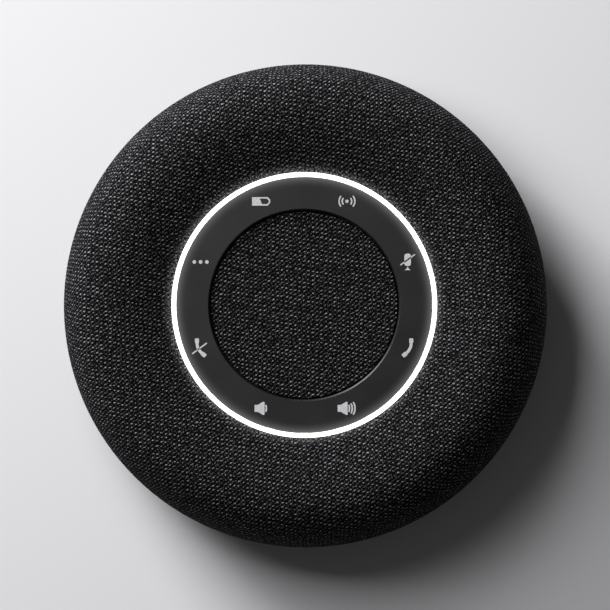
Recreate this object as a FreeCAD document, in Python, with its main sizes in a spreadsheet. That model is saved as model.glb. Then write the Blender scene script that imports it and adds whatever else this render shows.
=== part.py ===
"""Conference speakerphone: a low round body with a cloth cover, a touch ring and a light ring.

Millimetres, +Z up.  The origin is the centre of the foot's resting face.  -Y is the user's side,
+Y the side with the charging socket.
"""
import FreeCAD, Part
import math
import os
import re
import Sketcher

Vector = FreeCAD.Vector

# Driving dimensions.  Radii are measured from the axis of the body and heights from the table.
SIZES = {
    # outside form of the cover
    "body_radius": 66,
    "crest_height": 39,
    "crest_radius": 53.5,
    "brow_radius": 25.4,
    "brow_slope": 22,
    "shoulder_radius": 10,
    "shoulder_angle": 30,
    "hem_height": 10.8,
    "hem_width": 2,
    "mouth_radius": 36.05,
    "mouth_hem_height": 32.2,
    "cloth_thickness": 0.75,
    "grille_depth": 0.8,
    "grille_wall": 1.6,
    "grille_foot_height": 30.6,
    "grille_hole_radius": 1.1,
    "grille_hole_count": 40,
    "grille_first_hole": 42,
    "grille_hole_step": 4,
    # touch ring and light ring
    "panel_height": 34.1,
    "panel_inner": 25.7,
    "panel_outer": 34.75,
    "panel_plate": 1.1,
    "panel_skirt": 1.2,
    "panel_seat_height": 31,
    "panel_chamfer": 0.35,
    "light_inner": 34.85,
    "light_outer": 35.85,
    "light_foot_height": 31.3,
    "light_height": 34.4,
    "light_flange": 0.85,
    "light_flange_thick": 0.7,
    "shield_wall": 0.7,
    "shield_gap": 0.15,
    "led_board_height": 29.4,
    "led_board_inner": 27.4,
    "led_board_outer": 38.6,
    "board_thick": 1,
    "led_length": 2,
    "led_width": 1.25,
    "led_thick": 0.7,
    "led_count": 24,
    "touch_board_thick": 0.7,
    "flex_width": 8,
    "flex_thick": 0.3,
    "flex_place": 29.2,
    "carrier_height": 27.8,
    "carrier_outer": 40.4,
    "carrier_rim": 1.5,
    "ring_screw_circle": 30.8,
    # cloth disc and grille in the middle
    "disc_radius": 25.4,
    "disc_height": 32.9,
    "disc_edge": 0.3,
    "disc_grille_thick": 1,
    "disc_hole_radius": 1,
    "disc_first_hole": 8,
    "disc_hole_step": 3.5,
    "disc_hole_count": 16,
    # microphones
    "mic_circle": 44.5,
    "mic_post_radius": 3,
    "mic_board_height": 29.2,
    "mic_board_radius": 4,
    "mic_board_thick": 0.8,
    "mic_length": 3.5,
    "mic_width": 2.65,
    "mic_thick": 1,
    "mic_boot_radius": 3.6,
    "mic_boot_height": 33,
    "mic_boot_inner": 2.4,
    "mic_boot_room": 1.1,
    "mic_port_radius": 0.6,
    # speaker box
    "box_radius": 60,
    "box_wall": 1.8,
    "box_foot_height": 12.4,
    "deck_height": 26.2,
    "deck_thick": 1.6,
    "box_floor_thick": 1.6,
    "box_seal_width": 1.5,
    "box_seal_thick": 0.6,
    "box_screw_circle": 54,
    "box_boss_radius": 2.6,
    "box_bore_top": 18,
    # driver
    "driver_hole": 21.5,
    "gasket_thick": 0.4,
    "flange_radius": 24.9,
    "flange_inner": 20.4,
    "flange_thick": 1.2,
    "basket_wall": 0.8,
    "spider_shelf_height": 21.4,
    "spider_shelf_inner": 16.8,
    "basket_foot_height": 16.4,
    "basket_foot_outer": 13.4,
    "basket_web": 1.8,
    "basket_window_count": 6,
    "basket_window_width": 9,
    "yoke_height": 12.7,
    "yoke_base": 1.4,
    "yoke_radius": 11.2,
    "yoke_bore": 9.9,
    "yoke_top": 18,
    "magnet_radius": 8.3,
    "magnet_thick": 2.3,
    "pole_radius": 8.6,
    "coil_inner": 9.05,
    "coil_former": 0.2,
    "coil_winding": 0.35,
    "coil_low": 15.5,
    "coil_wound_low": 15.8,
    "coil_wound_high": 19.2,
    "coil_high": 23.2,
    "cone_neck_height": 22.5,
    "cone_neck_thick": 0.72,
    "cone_edge_height": 27.6,
    "cone_edge_radius": 18.2,
    "cone_thick": 0.45,
    "cap_base_radius": 9.8,
    "cap_base_height": 23.55,
    "cap_bulge": 16,
    "roll_inner": 18.4,
    "roll_radius": 1,
    "roll_skin": 0.3,
    "roll_lap": 0.9,
    "roll_lip": 1,
    "spider_lap": 1.6,
    "driver_screw_circle": 23.1,
    "driver_boss_low": 18,
    "terminal_width": 7,
    # passive radiators
    "radiator_place": 49,
    "radiator_half_run": 10.5,
    "radiator_frame_half": 8,
    "radiator_frame_wall": 1.4,
    "radiator_frame_thick": 1.2,
    "radiator_roll_half": 6.6,
    "radiator_plate_half": 4.4,
    "radiator_plate_thick": 1.2,
    "radiator_weight_half": 3.4,
    "radiator_weight_thick": 1.8,
    "radiator_roll_thick": 1.3,
    "radiator_roll_skin": 0.4,
    "radiator_roll_edge": 0.64,
    # lower housing, foot and base
    "base_height": 2.2,
    "base_radius": 58.5,
    "band_top_radius": 64.1,
    "band_top_height": 10.7,
    "band_radius": 14,
    "housing_wall": 2.2,
    "housing_floor": 2,
    "tongue_outer": 62,
    "tongue_inner": 60.6,
    "tongue_height": 13.5,
    "foot_inner": 43.5,
    "foot_outer": 54,
    "foot_groove": 0.8,
    "foot_edge": 0.6,
    "bay_radius": 37,
    "base_plate_radius": 41,
    "base_plate_gap": 0.3,
    "base_plate_height": 1.2,
    "base_plate_seat": 3,
    "bay_lip": 1.6,
    "base_screw_circle": 39,
    "base_boss_height": 8,
    "housing_screw_circle": 49,
    "housing_boss_radius": 3,
    "blind_boss_height": 16,
    # battery
    "battery_length": 56,
    "battery_width": 38,
    "battery_thick": 6.2,
    "battery_height": 3.3,
    "battery_edge": 1.6,
    "cradle_wall": 1.4,
    "cradle_gap": 0.15,
    "cradle_thick": 2.6,
    "foam_length": 40,
    "foam_width": 22,
    "foam_thick": 1.3,
    "lead_radius": 0.6,
    "lead_spacing": 1,
    # main board
    "main_board_height": 5.6,
    "main_board_thick": 1.2,
    "main_board_inner": 42,
    "main_board_outer": 56.2,
    "board_screw_circle": 45,
    "standoff_radius": 2.4,
    "can_length": 16,
    "can_width": 8,
    "can_thick": 1.3,
    "can_place": 52,
    "chip_side": 6,
    "chip_thick": 0.9,
    "chip_count": 3,
    "antenna_length": 18,
    "antenna_width": 4,
    "antenna_thick": 0.8,
    "plug_side": 5,
    "plug_thick": 1.8,
    "plug_place": 45.5,
    "plug_count": 3,
    # charging socket
    "socket_width": 8.94,
    "socket_thick": 3.26,
    "socket_length": 7.35,
    "socket_front": 57.6,
    "socket_height": 7,
    "socket_metal": 0.3,
    "socket_back_wall": 0.9,
    "socket_gap": 0.3,
    "tongue_width": 6.7,
    "tongue_thick": 0.7,
    "tongue_length": 5.6,
    "inlet_width": 12.8,
    "inlet_thick": 6.4,
    "inlet_back": 57.9,
    "inlet_block_half": 8.4,
    "inlet_block_inner": 55.9,
    "inlet_block_outer": 58.6,
    # power button
    "button_azimuth": 118,
    "button_height": 7.2,
    "button_half_run": 2.6,
    "button_half_width": 1.9,
    "button_play": 0.25,
    "button_face": 63.4,
    "button_flange_half_run": 3.2,
    "button_flange_half": 2.2,
    "button_flange_low": 56.9,
    "button_flange_thick": 0.8,
    "plunger_low": 54.5,
    "plunger_half": 0.6,
    "switch_low": 50.7,
    "switch_front": 55.2,
    "switch_half": 2.3,
    "switch_top": 8.6,
    # screws
    "small_head_radius": 1.6,
    "small_shank_radius": 0.9,
    "head_radius": 2.1,
    "shank_radius": 1.1,
    "head_thick": 1,
    "drive_radius": 0.75,
    "drive_depth": 0.6,
    "screw_clearance": 0.15,
    "screw_room": 0.7,
    "boss_wall": 1.4,
    "small_boss_wall": 0.9,
    # how far a cut runs past what it cuts
    "cut_past": 1,
}

# Sizes that follow from the driving ones.
DERIVED = {
    "side_radius": "(body_radius - crest_radius - shoulder_radius * cos(shoulder_angle * 1deg))"
                   " / (1 - cos(shoulder_angle * 1deg))",
    "side_height": "crest_height - shoulder_radius"
                   " - (side_radius - shoulder_radius) * sin(shoulder_angle * 1deg)",
    "side_centre": "body_radius - side_radius",
    "led_board_top": "led_board_height + board_thick",
    "light_middle": "(light_inner + light_outer) / 2",
    "touch_board_height": "panel_height - panel_plate - touch_board_thick",
    "disc_base": "disc_height - cloth_thickness",
    "mic_base": "mic_board_height + mic_board_thick",
    "deck_low": "deck_height - deck_thick",
    "box_floor_low": "box_foot_height - box_floor_thick",
    "flange_low": "deck_height + gasket_thick",
    "flange_top": "flange_low + flange_thick",
    "yoke_floor": "yoke_height + yoke_base",
    "magnet_top": "yoke_floor + magnet_thick",
    "coil_outer": "coil_inner + coil_former",
    "radiator_frame_top": "deck_height + radiator_frame_thick",
    "housing_floor_top": "base_height + housing_floor",
    "bay_lip_top": "base_plate_seat + bay_lip",
    "battery_top": "battery_height + battery_thick",
    "main_board_top": "main_board_height + main_board_thick",
    "socket_back": "socket_front - socket_length",
}
WORD = re.compile(r"[a-z]\w+")

doc = FreeCAD.newDocument("Speakerphone")
sheet = doc.addObject("Spreadsheet::Sheet", "Sizes")
for row, (alias, number) in enumerate(SIZES.items(), start=1):
    sheet.set(f"A{row}", alias.replace("_", " "))
    sheet.set(f"B{row}", str(number))
    sheet.setAlias(f"B{row}", alias)
doc.recompute()


def formula(text):
    """The expression with every size spelled out in the sheet's aliases."""
    def spell(match):
        word = match.group(0)
        if word in DERIVED:
            return f"({formula(DERIVED[word])})"
        return f"Sizes.{word}" if word in SIZES else word
    return WORD.sub(spell, str(text))


def value(text):
    """The number that an expression stands for."""
    return float(sheet.evalExpression(formula(text)))


def on_circle(radius, azimuth):
    """The place at a radius and an azimuth in degrees, as two expressions."""
    return f"({radius}) * cos({azimuth} * 1deg)", f"({radius}) * sin({azimuth} * 1deg)"


# ---------------------------------------------------------------- sketches and features


def new_body(label, turn=0):
    """An empty body, turned about Z by an angle in degrees."""
    body = doc.addObject("PartDesign::Body", label)
    body.Label = label
    body.Placement = FreeCAD.Placement(Vector(), FreeCAD.Rotation(Vector(0, 0, 1), turn))
    return body


def origin_piece(body, role):
    return next(piece for piece in body.Origin.OriginFeatures if piece.Role == role)


def new_sketch(body, plane, level=0, spin=0):
    """A sketch on a plane of the body's origin, raised by level and spun about the upright axis."""
    sketch = body.newObject("Sketcher::SketchObject", f"{body.Name}_sketch")
    sketch.AttachmentSupport = (origin_piece(body, plane), [""])
    sketch.MapMode = "FlatFace"
    if spin:
        turn = FreeCAD.Rotation(Vector(0, 1, 0), spin)
        away = turn.multVec(Vector(0, 0, value(level)))
        sketch.AttachmentOffset = FreeCAD.Placement(away, turn)
    else:
        sketch.setExpression("AttachmentOffset.Base.z", formula(level))
    return sketch


def hold(sketch, kind, *target):
    """Add a dimension whose size follows an expression: the last item of target."""
    place = target[:-1]
    index = sketch.addConstraint(Sketcher.Constraint(kind, *place, value(target[-1])))
    sketch.setExpression(f"Constraints[{index}]", formula(target[-1]))


def arc_between(start, end, radius, left):
    """The short arc from start to end that turns left or right, and its centre."""
    chord = end - start
    middle = (start + end) * 0.5
    height = math.sqrt(max(radius ** 2 - (chord.Length / 2) ** 2, 0))
    side = Vector(-chord.y, chord.x, 0).normalize() * height
    centre = middle + side if left else middle - side
    first, last = (start, end) if left else (end, start)
    angles = [math.atan2(point.y - centre.y, point.x - centre.x) for point in (first, last)]
    circle = Part.Circle(centre, Vector(0, 0, 1), radius)
    return Part.ArcOfCircle(circle, angles[0], angles[1])


def draw_outline(sketch, outline):
    """Draw a closed outline.  A point is (x, y), or (x, y, radius, left) where an arc follows."""
    places = [Vector(value(point[0]), value(point[1]), 0) for point in outline]
    edges = []
    for number, point in enumerate(outline):
        start, end = places[number], places[(number + 1) % len(outline)]
        if len(point) == 2:
            index = sketch.addGeometry(Part.LineSegment(start, end), False)
            edges.append((index, 1, 2))
        else:
            arc = arc_between(start, end, value(point[2]), point[3])
            index = sketch.addGeometry(arc, False)
            edges.append((index, 1, 2) if point[3] else (index, 2, 1))
    for number, (index, _, tail) in enumerate(edges):
        follower = edges[(number + 1) % len(edges)]
        sketch.addConstraint(Sketcher.Constraint("Coincident", index, tail, follower[0], follower[1]))
    for (index, head, _), point in zip(edges, outline):
        hold(sketch, "DistanceX", -1, 1, index, head, point[0])
        hold(sketch, "DistanceY", -1, 1, index, head, point[1])
        if len(point) == 4:
            hold(sketch, "Radius", index, point[2])


def draw_circles(sketch, circles):
    """Draw circles given as (x, y, radius)."""
    for x, y, radius in circles:
        circle = Part.Circle(Vector(value(x), value(y), 0), Vector(0, 0, 1), value(radius))
        index = sketch.addGeometry(circle, False)
        hold(sketch, "DistanceX", -1, 1, index, 3, x)
        hold(sketch, "DistanceY", -1, 1, index, 3, y)
        hold(sketch, "Radius", index, radius)


def sketch_of(body, plane, outlines=(), circles=(), level=0, spin=0):
    sketch = new_sketch(body, plane, level, spin)
    for outline in outlines:
        draw_outline(sketch, outline)
    draw_circles(sketch, circles)
    return sketch


def revolve(body, outline):
    """Turn an outline of (radius, height) points about the body's axis."""
    sketch = sketch_of(body, "XZ_Plane", [outline])
    feature = body.newObject("PartDesign::Revolution", f"{body.Name}_turned")
    feature.Profile = sketch
    feature.ReferenceAxis = (sketch, ["V_Axis"])
    feature.Angle = 360
    doc.recompute()
    return feature


def pad(body, sketch, length):
    """Raise a sketch along its own normal."""
    feature = body.newObject("PartDesign::Pad", f"{body.Name}_pad")
    feature.Profile = sketch
    feature.setExpression("Length", formula(length))
    doc.recompute()
    return feature


def pocket(body, sketch, length, outward=False):
    """Cut a sketch against its normal, or along it when outward, and make sure that it cuts."""
    before = body.Shape.Volume
    feature = body.newObject("PartDesign::Pocket", f"{body.Name}_pocket")
    feature.Profile = sketch
    feature.Reversed = outward
    feature.setExpression("Length", formula(length))
    doc.recompute()
    if body.Shape.Volume >= before - 1e-6:
        raise RuntimeError(f"{body.Label}: a pocket cuts nothing")
    return feature


def ring_of(body, features, count):
    """Repeat features evenly round the body's axis."""
    pattern = body.newObject("PartDesign::PolarPattern", f"{body.Name}_ring")
    pattern.Originals = features
    pattern.Axis = (origin_piece(body, "Z_Axis"), [""])
    pattern.Angle = 360
    pattern.setExpression("Occurrences", formula(count))
    body.Tip = pattern
    doc.recompute()
    return pattern


def fillet(body, feature, edges, radius):
    """Round edges of the body's last feature."""
    round_over = body.newObject("PartDesign::Fillet", f"{body.Name}_fillet")
    round_over.Base = (feature, edges)
    round_over.setExpression("Radius", formula(radius))
    doc.recompute()
    return round_over


def edges_at(feature, height):
    """Names of the feature's edges that lie flat at a height."""
    level = value(height)
    return [
        f"Edge{number}"
        for number, edge in enumerate(feature.Shape.Edges, start=1)
        if abs(edge.BoundBox.ZMin - level) < 1e-4 and abs(edge.BoundBox.ZMax - level) < 1e-4
    ]


# ---------------------------------------------------------------- outlines that repeat


def rectangle(x_low, y_low, x_high, y_high):
    return [(x_low, y_low), (x_high, y_low), (x_high, y_high), (x_low, y_high)]


def centred(x, y, length, width):
    """A rectangle about a centre."""
    return rectangle(f"{x} - ({length}) / 2", f"{y} - ({width}) / 2",
                     f"{x} + ({length}) / 2", f"{y} + ({width}) / 2")


def pill(x, y, half_run, radius, upright):
    """Two half circles joined by straight sides, long across or upright."""
    if upright:
        return [
            (f"{x} + ({radius})", f"{y} - {half_run}"),
            (f"{x} + ({radius})", f"{y} + {half_run}", radius, True),
            (x, f"{y} + {half_run} + ({radius})", radius, True),
            (f"{x} - ({radius})", f"{y} + {half_run}"),
            (f"{x} - ({radius})", f"{y} - {half_run}", radius, True),
            (x, f"{y} - {half_run} - ({radius})", radius, True),
        ]
    return [
        (f"{x} - {half_run}", f"{y} - ({radius})"),
        (f"{x} + {half_run}", f"{y} - ({radius})", radius, True),
        (f"{x} + {half_run} + ({radius})", y, radius, True),
        (f"{x} + {half_run}", f"{y} + ({radius})"),
        (f"{x} - {half_run}", f"{y} + ({radius})", radius, True),
        (f"{x} - {half_run} - ({radius})", y, radius, True),
    ]


def cover_line(depth, inner, hem):
    """Points of the cover's outside form, moved in by a depth, from the mouth down to the hem."""
    slope = "brow_slope * 1deg"
    turn = "shoulder_angle * 1deg"
    brow_r = f"crest_radius - (brow_radius - {depth}) * sin({slope})"
    brow_z = f"crest_height - brow_radius + (brow_radius - {depth}) * cos({slope})"
    drop = f"sqrt((side_radius - {depth})^2 - (side_height - {hem})^2)"
    return [
        (inner, f"{brow_z} - ({brow_r} - {inner}) * tan({slope})"),
        (brow_r, brow_z, f"brow_radius - {depth}", False),
        ("crest_radius", f"crest_height - {depth}", f"shoulder_radius - {depth}", False),
        (f"crest_radius + (shoulder_radius - {depth}) * cos({turn})",
         f"crest_height - shoulder_radius + (shoulder_radius - {depth}) * sin({turn})",
         f"side_radius - {depth}", False),
        (f"side_centre + {drop}", hem),
    ]


def back_along(points):
    """The same curve walked the other way, so that its arcs turn left."""
    backward = []
    for number in range(len(points) - 1, -1, -1):
        arc = points[number - 1][2:] if number else ()
        backward.append((*points[number][:2], *([arc[0], True] if arc else [])))
    return backward


def tube(body, inner, outer, low, height):
    """A plain ring between two radii."""
    sketch = sketch_of(body, "XY_Plane", circles=[("0", "0", outer), ("0", "0", inner)], level=low)
    return pad(body, sketch, height)


def screws(label, circle, azimuth, count, under_head, tip, head, shank):
    """Pan-head screws that stand on one circle, heads down where the tips lie above the heads."""
    body = new_body(label)
    x, y = on_circle(circle, azimuth)
    upward = value(tip) > value(under_head)
    low = f"{under_head} - head_thick" if upward else under_head
    bottom, top = (under_head, tip) if upward else (tip, under_head)
    heads = pad(body, sketch_of(body, "XY_Plane", circles=[(x, y, head)], level=low), "head_thick")
    shanks = pad(body, sketch_of(body, "XY_Plane", circles=[(x, y, shank)], level=bottom),
                 f"{top} - ({bottom})")
    face = low if upward else f"{under_head} + head_thick"
    drive = pocket(body, sketch_of(body, "XY_Plane", circles=[(x, y, "drive_radius")], level=face),
                   "drive_depth", outward=upward)
    ring_of(body, [heads, shanks, drive], count)


def holes(body, circle, azimuth, count, radius, top, depth):
    """Round holes on one circle, cut downwards from a height."""
    x, y = on_circle(circle, azimuth)
    sketch = sketch_of(body, "XY_Plane", circles=[(x, y, radius)], level=top)
    ring_of(body, [pocket(body, sketch, depth)], count)


def bosses(body, circle, azimuth, count, radius, low, height):
    """Round posts on one circle."""
    x, y = on_circle(circle, azimuth)
    sketch = sketch_of(body, "XY_Plane", circles=[(x, y, radius)], level=low)
    ring_of(body, [pad(body, sketch, height)], count)


# Azimuths in degrees: the first of each ring of four, then single places.
RING_SCREWS = 45
MIC_PLACES = 45
BOX_SCREWS = 45
BASE_SCREWS = 45
DRIVER_SCREWS = 45
HOUSING_SCREWS = 67.5
BOARD_SCREWS = 22.5
IN_RING = 4
BASKET_WINDOWS = 30
INLET = 90
SHIELD_CAN = 180
CHIPS = 20
ANTENNA = 300
# Rows of sound holes.
GRILLE_ROWS = 4
DISC_ROWS = 5


# ---------------------------------------------------------------- cover and grille


def make_cover():
    """Cloth cover: one skin from the mouth hem over the crest and under the grille's lower edge."""
    body = new_body("outer_fabric_cover")
    outer = cover_line("0", "mouth_radius", "hem_height")
    inner = cover_line("cloth_thickness", "(mouth_radius + cloth_thickness)",
                       "(hem_height + cloth_thickness)")
    hem_inner = "body_radius - hem_width - cloth_thickness * 2"
    turn_in = [(hem_inner, "hem_height"), (hem_inner, "hem_height + cloth_thickness")]
    mouth = [("mouth_radius + cloth_thickness", "mouth_hem_height"),
             ("mouth_radius", "mouth_hem_height")]
    revolve(body, outer + turn_in + back_along(inner) + mouth)


def make_grille():
    """Stiff shell under the cloth, with sound holes over the top of the ring."""
    body = new_body("grille_shell")
    inside = "(mouth_radius + grille_depth + grille_wall)"
    low = "(hem_height + grille_depth)"
    outer = cover_line("grille_depth", "(mouth_radius + grille_depth)", low)
    inner = cover_line("(grille_depth + grille_wall)", inside, low)
    foot = [(inside, "grille_foot_height"), ("mouth_radius + grille_depth", "grille_foot_height")]
    revolve(body, outer + back_along(inner) + foot)
    rows = [(f"grille_first_hole + grille_hole_step * {row}", "0", "grille_hole_radius")
            for row in range(GRILLE_ROWS)]
    sketch = sketch_of(body, "XY_Plane", circles=rows, level="crest_height")
    ring_of(body, [pocket(body, sketch, "crest_height - grille_foot_height")],
            "grille_hole_count")


def make_middle():
    """Cloth disc in the middle of the touch ring, and the perforated plate under it."""
    cloth = new_body("center_fabric_disc")
    revolve(cloth, [
        ("0", "disc_base"),
        ("disc_radius", "disc_base"),
        ("disc_radius", "disc_height - disc_edge"),
        ("disc_radius - disc_edge", "disc_height"),
        ("0", "disc_height"),
    ])
    grille = new_body("center_grille")
    low = "disc_base - disc_grille_thick"
    pad(grille, sketch_of(grille, "XY_Plane", circles=[("0", "0", "disc_radius")], level=low),
        "disc_grille_thick")
    rows = [(f"disc_first_hole + disc_hole_step * {row}", "0", "disc_hole_radius")
            for row in range(DISC_ROWS)]
    sketch = sketch_of(grille, "XY_Plane", circles=rows, level="disc_base")
    ring_of(grille, [pocket(grille, sketch, "disc_grille_thick")], "disc_hole_count")
    middle = [("0", "0", "disc_hole_radius")]
    pocket(grille, sketch_of(grille, "XY_Plane", circles=middle, level="disc_base"),
           "disc_grille_thick")


# ---------------------------------------------------------------- touch ring and light ring


def make_touch_ring():
    """Satin ring that carries the touch marks, with a chamfered inner rim and a skirt."""
    panel = new_body("control_panel")
    skirt = "panel_inner + panel_skirt"
    plate = "panel_height - panel_plate"
    revolve(panel, [
        ("panel_inner", "panel_seat_height"),
        (skirt, "panel_seat_height"),
        (skirt, plate),
        ("panel_outer", plate),
        ("panel_outer", "panel_height"),
        ("panel_inner + panel_chamfer", "panel_height"),
        ("panel_inner", "panel_height - panel_chamfer"),
    ])
    touch = new_body("touch_board")
    tube(touch, f"{skirt} + panel_chamfer / 2", "light_inner - shield_gap * 2 - shield_wall",
         "touch_board_height", "touch_board_thick")
    flex = new_body("touch_flex")
    strip = centred("0", "-flex_place", "flex_width", "flex_thick")
    pad(flex, sketch_of(flex, "XY_Plane", [strip], level="led_board_top"),
        "touch_board_height - led_board_top")


def make_light_ring():
    """Light guide, its shield, the board with its lamps and the frame that carries them."""
    guide = new_body("light_guide")
    revolve(guide, [
        ("light_inner", "light_foot_height"),
        ("light_outer + light_flange", "light_foot_height"),
        ("light_outer + light_flange", "light_foot_height + light_flange_thick"),
        ("light_outer", "light_foot_height + light_flange_thick"),
        ("light_outer", "light_height"),
        ("light_inner", "light_height"),
    ])
    shield = new_body("light_shield")
    tube(shield, "light_inner - shield_gap - shield_wall", "light_inner - shield_gap",
         "led_board_top", "panel_height - panel_plate - led_board_top")
    board = new_body("led_board")
    tube(board, "led_board_inner", "led_board_outer", "led_board_height", "board_thick")
    holes(board, "ring_screw_circle", RING_SCREWS, IN_RING,
          "shank_radius + screw_clearance", "led_board_top", "board_thick")
    lamps = new_body("ring_leds")
    lamp = centred("light_middle", "0", "led_width", "led_length")
    ring_of(lamps, [pad(lamps, sketch_of(lamps, "XY_Plane", [lamp], level="led_board_top"),
                        "led_thick")], "led_count")
    carrier = new_body("ring_carrier")
    rim = "carrier_outer - carrier_rim"
    revolve(carrier, [
        ("panel_inner", "carrier_height"),
        ("carrier_outer", "carrier_height"),
        ("carrier_outer", "grille_foot_height"),
        (rim, "grille_foot_height"),
        (rim, "led_board_height"),
        ("panel_inner + panel_skirt", "led_board_height"),
        ("panel_inner + panel_skirt", "panel_seat_height"),
        ("panel_inner", "panel_seat_height"),
    ])
    holes(carrier, "ring_screw_circle", RING_SCREWS, IN_RING,
          "shank_radius + screw_clearance", "led_board_height",
          "led_board_height - carrier_height")
    screws("ring_screws", "ring_screw_circle", RING_SCREWS, IN_RING,
           "led_board_top", "deck_low", "small_head_radius", "shank_radius")


def make_microphones():
    """Four microphones on small boards, each in a rubber boot that reaches up to the grille."""
    x, y = on_circle("mic_circle", MIC_PLACES)
    boards = new_body("mic_boards")
    bosses(boards, "mic_circle", MIC_PLACES, IN_RING, "mic_board_radius",
           "mic_board_height", "mic_board_thick")
    cans = new_body("microphones")
    can = centred(x, y, "mic_length", "mic_width")
    ring_of(cans, [pad(cans, sketch_of(cans, "XY_Plane", [can], level="mic_base"), "mic_thick")],
            IN_RING)
    boots = new_body("mic_boots")
    wall = pad(boots, sketch_of(boots, "XY_Plane", circles=[(x, y, "mic_boot_radius"),
                                                            (x, y, "mic_boot_inner")],
                                level="mic_base"), "mic_boot_room")
    roof_low = "mic_base + mic_boot_room"
    roof = pad(boots, sketch_of(boots, "XY_Plane", circles=[(x, y, "mic_boot_radius"),
                                                            (x, y, "mic_port_radius")],
                                level=roof_low), f"mic_boot_height - ({roof_low})")
    ring_of(boots, [wall, roof], IN_RING)


# ---------------------------------------------------------------- speaker box


def make_speaker_box():
    """Air-tight box that carries the driver and both passive radiators on its deck."""
    box = new_body("speaker_box")
    inner = "box_radius - box_wall"
    revolve(box, [
        (inner, "box_foot_height"),
        ("box_radius", "box_foot_height"),
        ("box_radius", "deck_height"),
        ("driver_hole", "deck_height"),
        ("driver_hole", "deck_low"),
        (inner, "deck_low"),
    ])
    wall = "shank_radius + boss_wall"
    bosses(box, "ring_screw_circle", RING_SCREWS, IN_RING, wall, "deck_height",
           "carrier_height - deck_height")
    holes(box, "ring_screw_circle", RING_SCREWS, IN_RING, "shank_radius",
          "carrier_height", "carrier_height - deck_low")
    bosses(box, "mic_circle", MIC_PLACES, IN_RING, "mic_post_radius", "deck_height",
           "mic_board_height - deck_height")
    bosses(box, "driver_screw_circle", DRIVER_SCREWS, IN_RING,
           "small_shank_radius + small_boss_wall", "driver_boss_low", "deck_low - driver_boss_low")
    holes(box, "driver_screw_circle", DRIVER_SCREWS, IN_RING, "small_shank_radius",
          "deck_height", "deck_height - driver_boss_low - boss_wall")
    bosses(box, "box_screw_circle", BOX_SCREWS, IN_RING, "box_boss_radius",
           "box_foot_height", "deck_low - box_foot_height")
    x, y = on_circle("box_screw_circle", BOX_SCREWS)
    bore = sketch_of(box, "XY_Plane", circles=[(x, y, "shank_radius")], level="box_foot_height")
    ring_of(box, [pocket(box, bore, "box_bore_top - box_foot_height", outward=True)],
            IN_RING)
    window = "radiator_frame_half - radiator_frame_wall"
    for side in ("radiator_place", "-radiator_place"):
        opening = pill(side, "0", "radiator_half_run", window, upright=True)
        pocket(box, sketch_of(box, "XY_Plane", [opening], level="deck_height"), "deck_thick")

    back = new_body("speaker_box_back")
    pad(back, sketch_of(back, "XY_Plane", circles=[("0", "0", "box_radius")],
                        level="box_floor_low"), "box_floor_thick")
    bosses(back, "housing_screw_circle", HOUSING_SCREWS, IN_RING, "housing_boss_radius",
           "box_foot_height", "blind_boss_height - box_foot_height")
    x, y = on_circle("housing_screw_circle", HOUSING_SCREWS)
    bore = sketch_of(back, "XY_Plane", circles=[(x, y, "shank_radius")], level="box_floor_low")
    ring_of(back, [pocket(back, bore, "blind_boss_height - box_floor_low - boss_wall",
                          outward=True)], IN_RING)
    holes(back, "box_screw_circle", BOX_SCREWS, IN_RING,
          "shank_radius + screw_clearance", "box_foot_height", "box_floor_thick")
    seal = new_body("speaker_box_seal")
    tube(seal, f"{inner} - box_seal_width", inner, "box_foot_height", "box_seal_thick")
    screws("speaker_box_screws", "box_screw_circle", BOX_SCREWS, IN_RING,
                      "box_floor_low", "box_bore_top - screw_room", "head_radius", "shank_radius")


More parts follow.
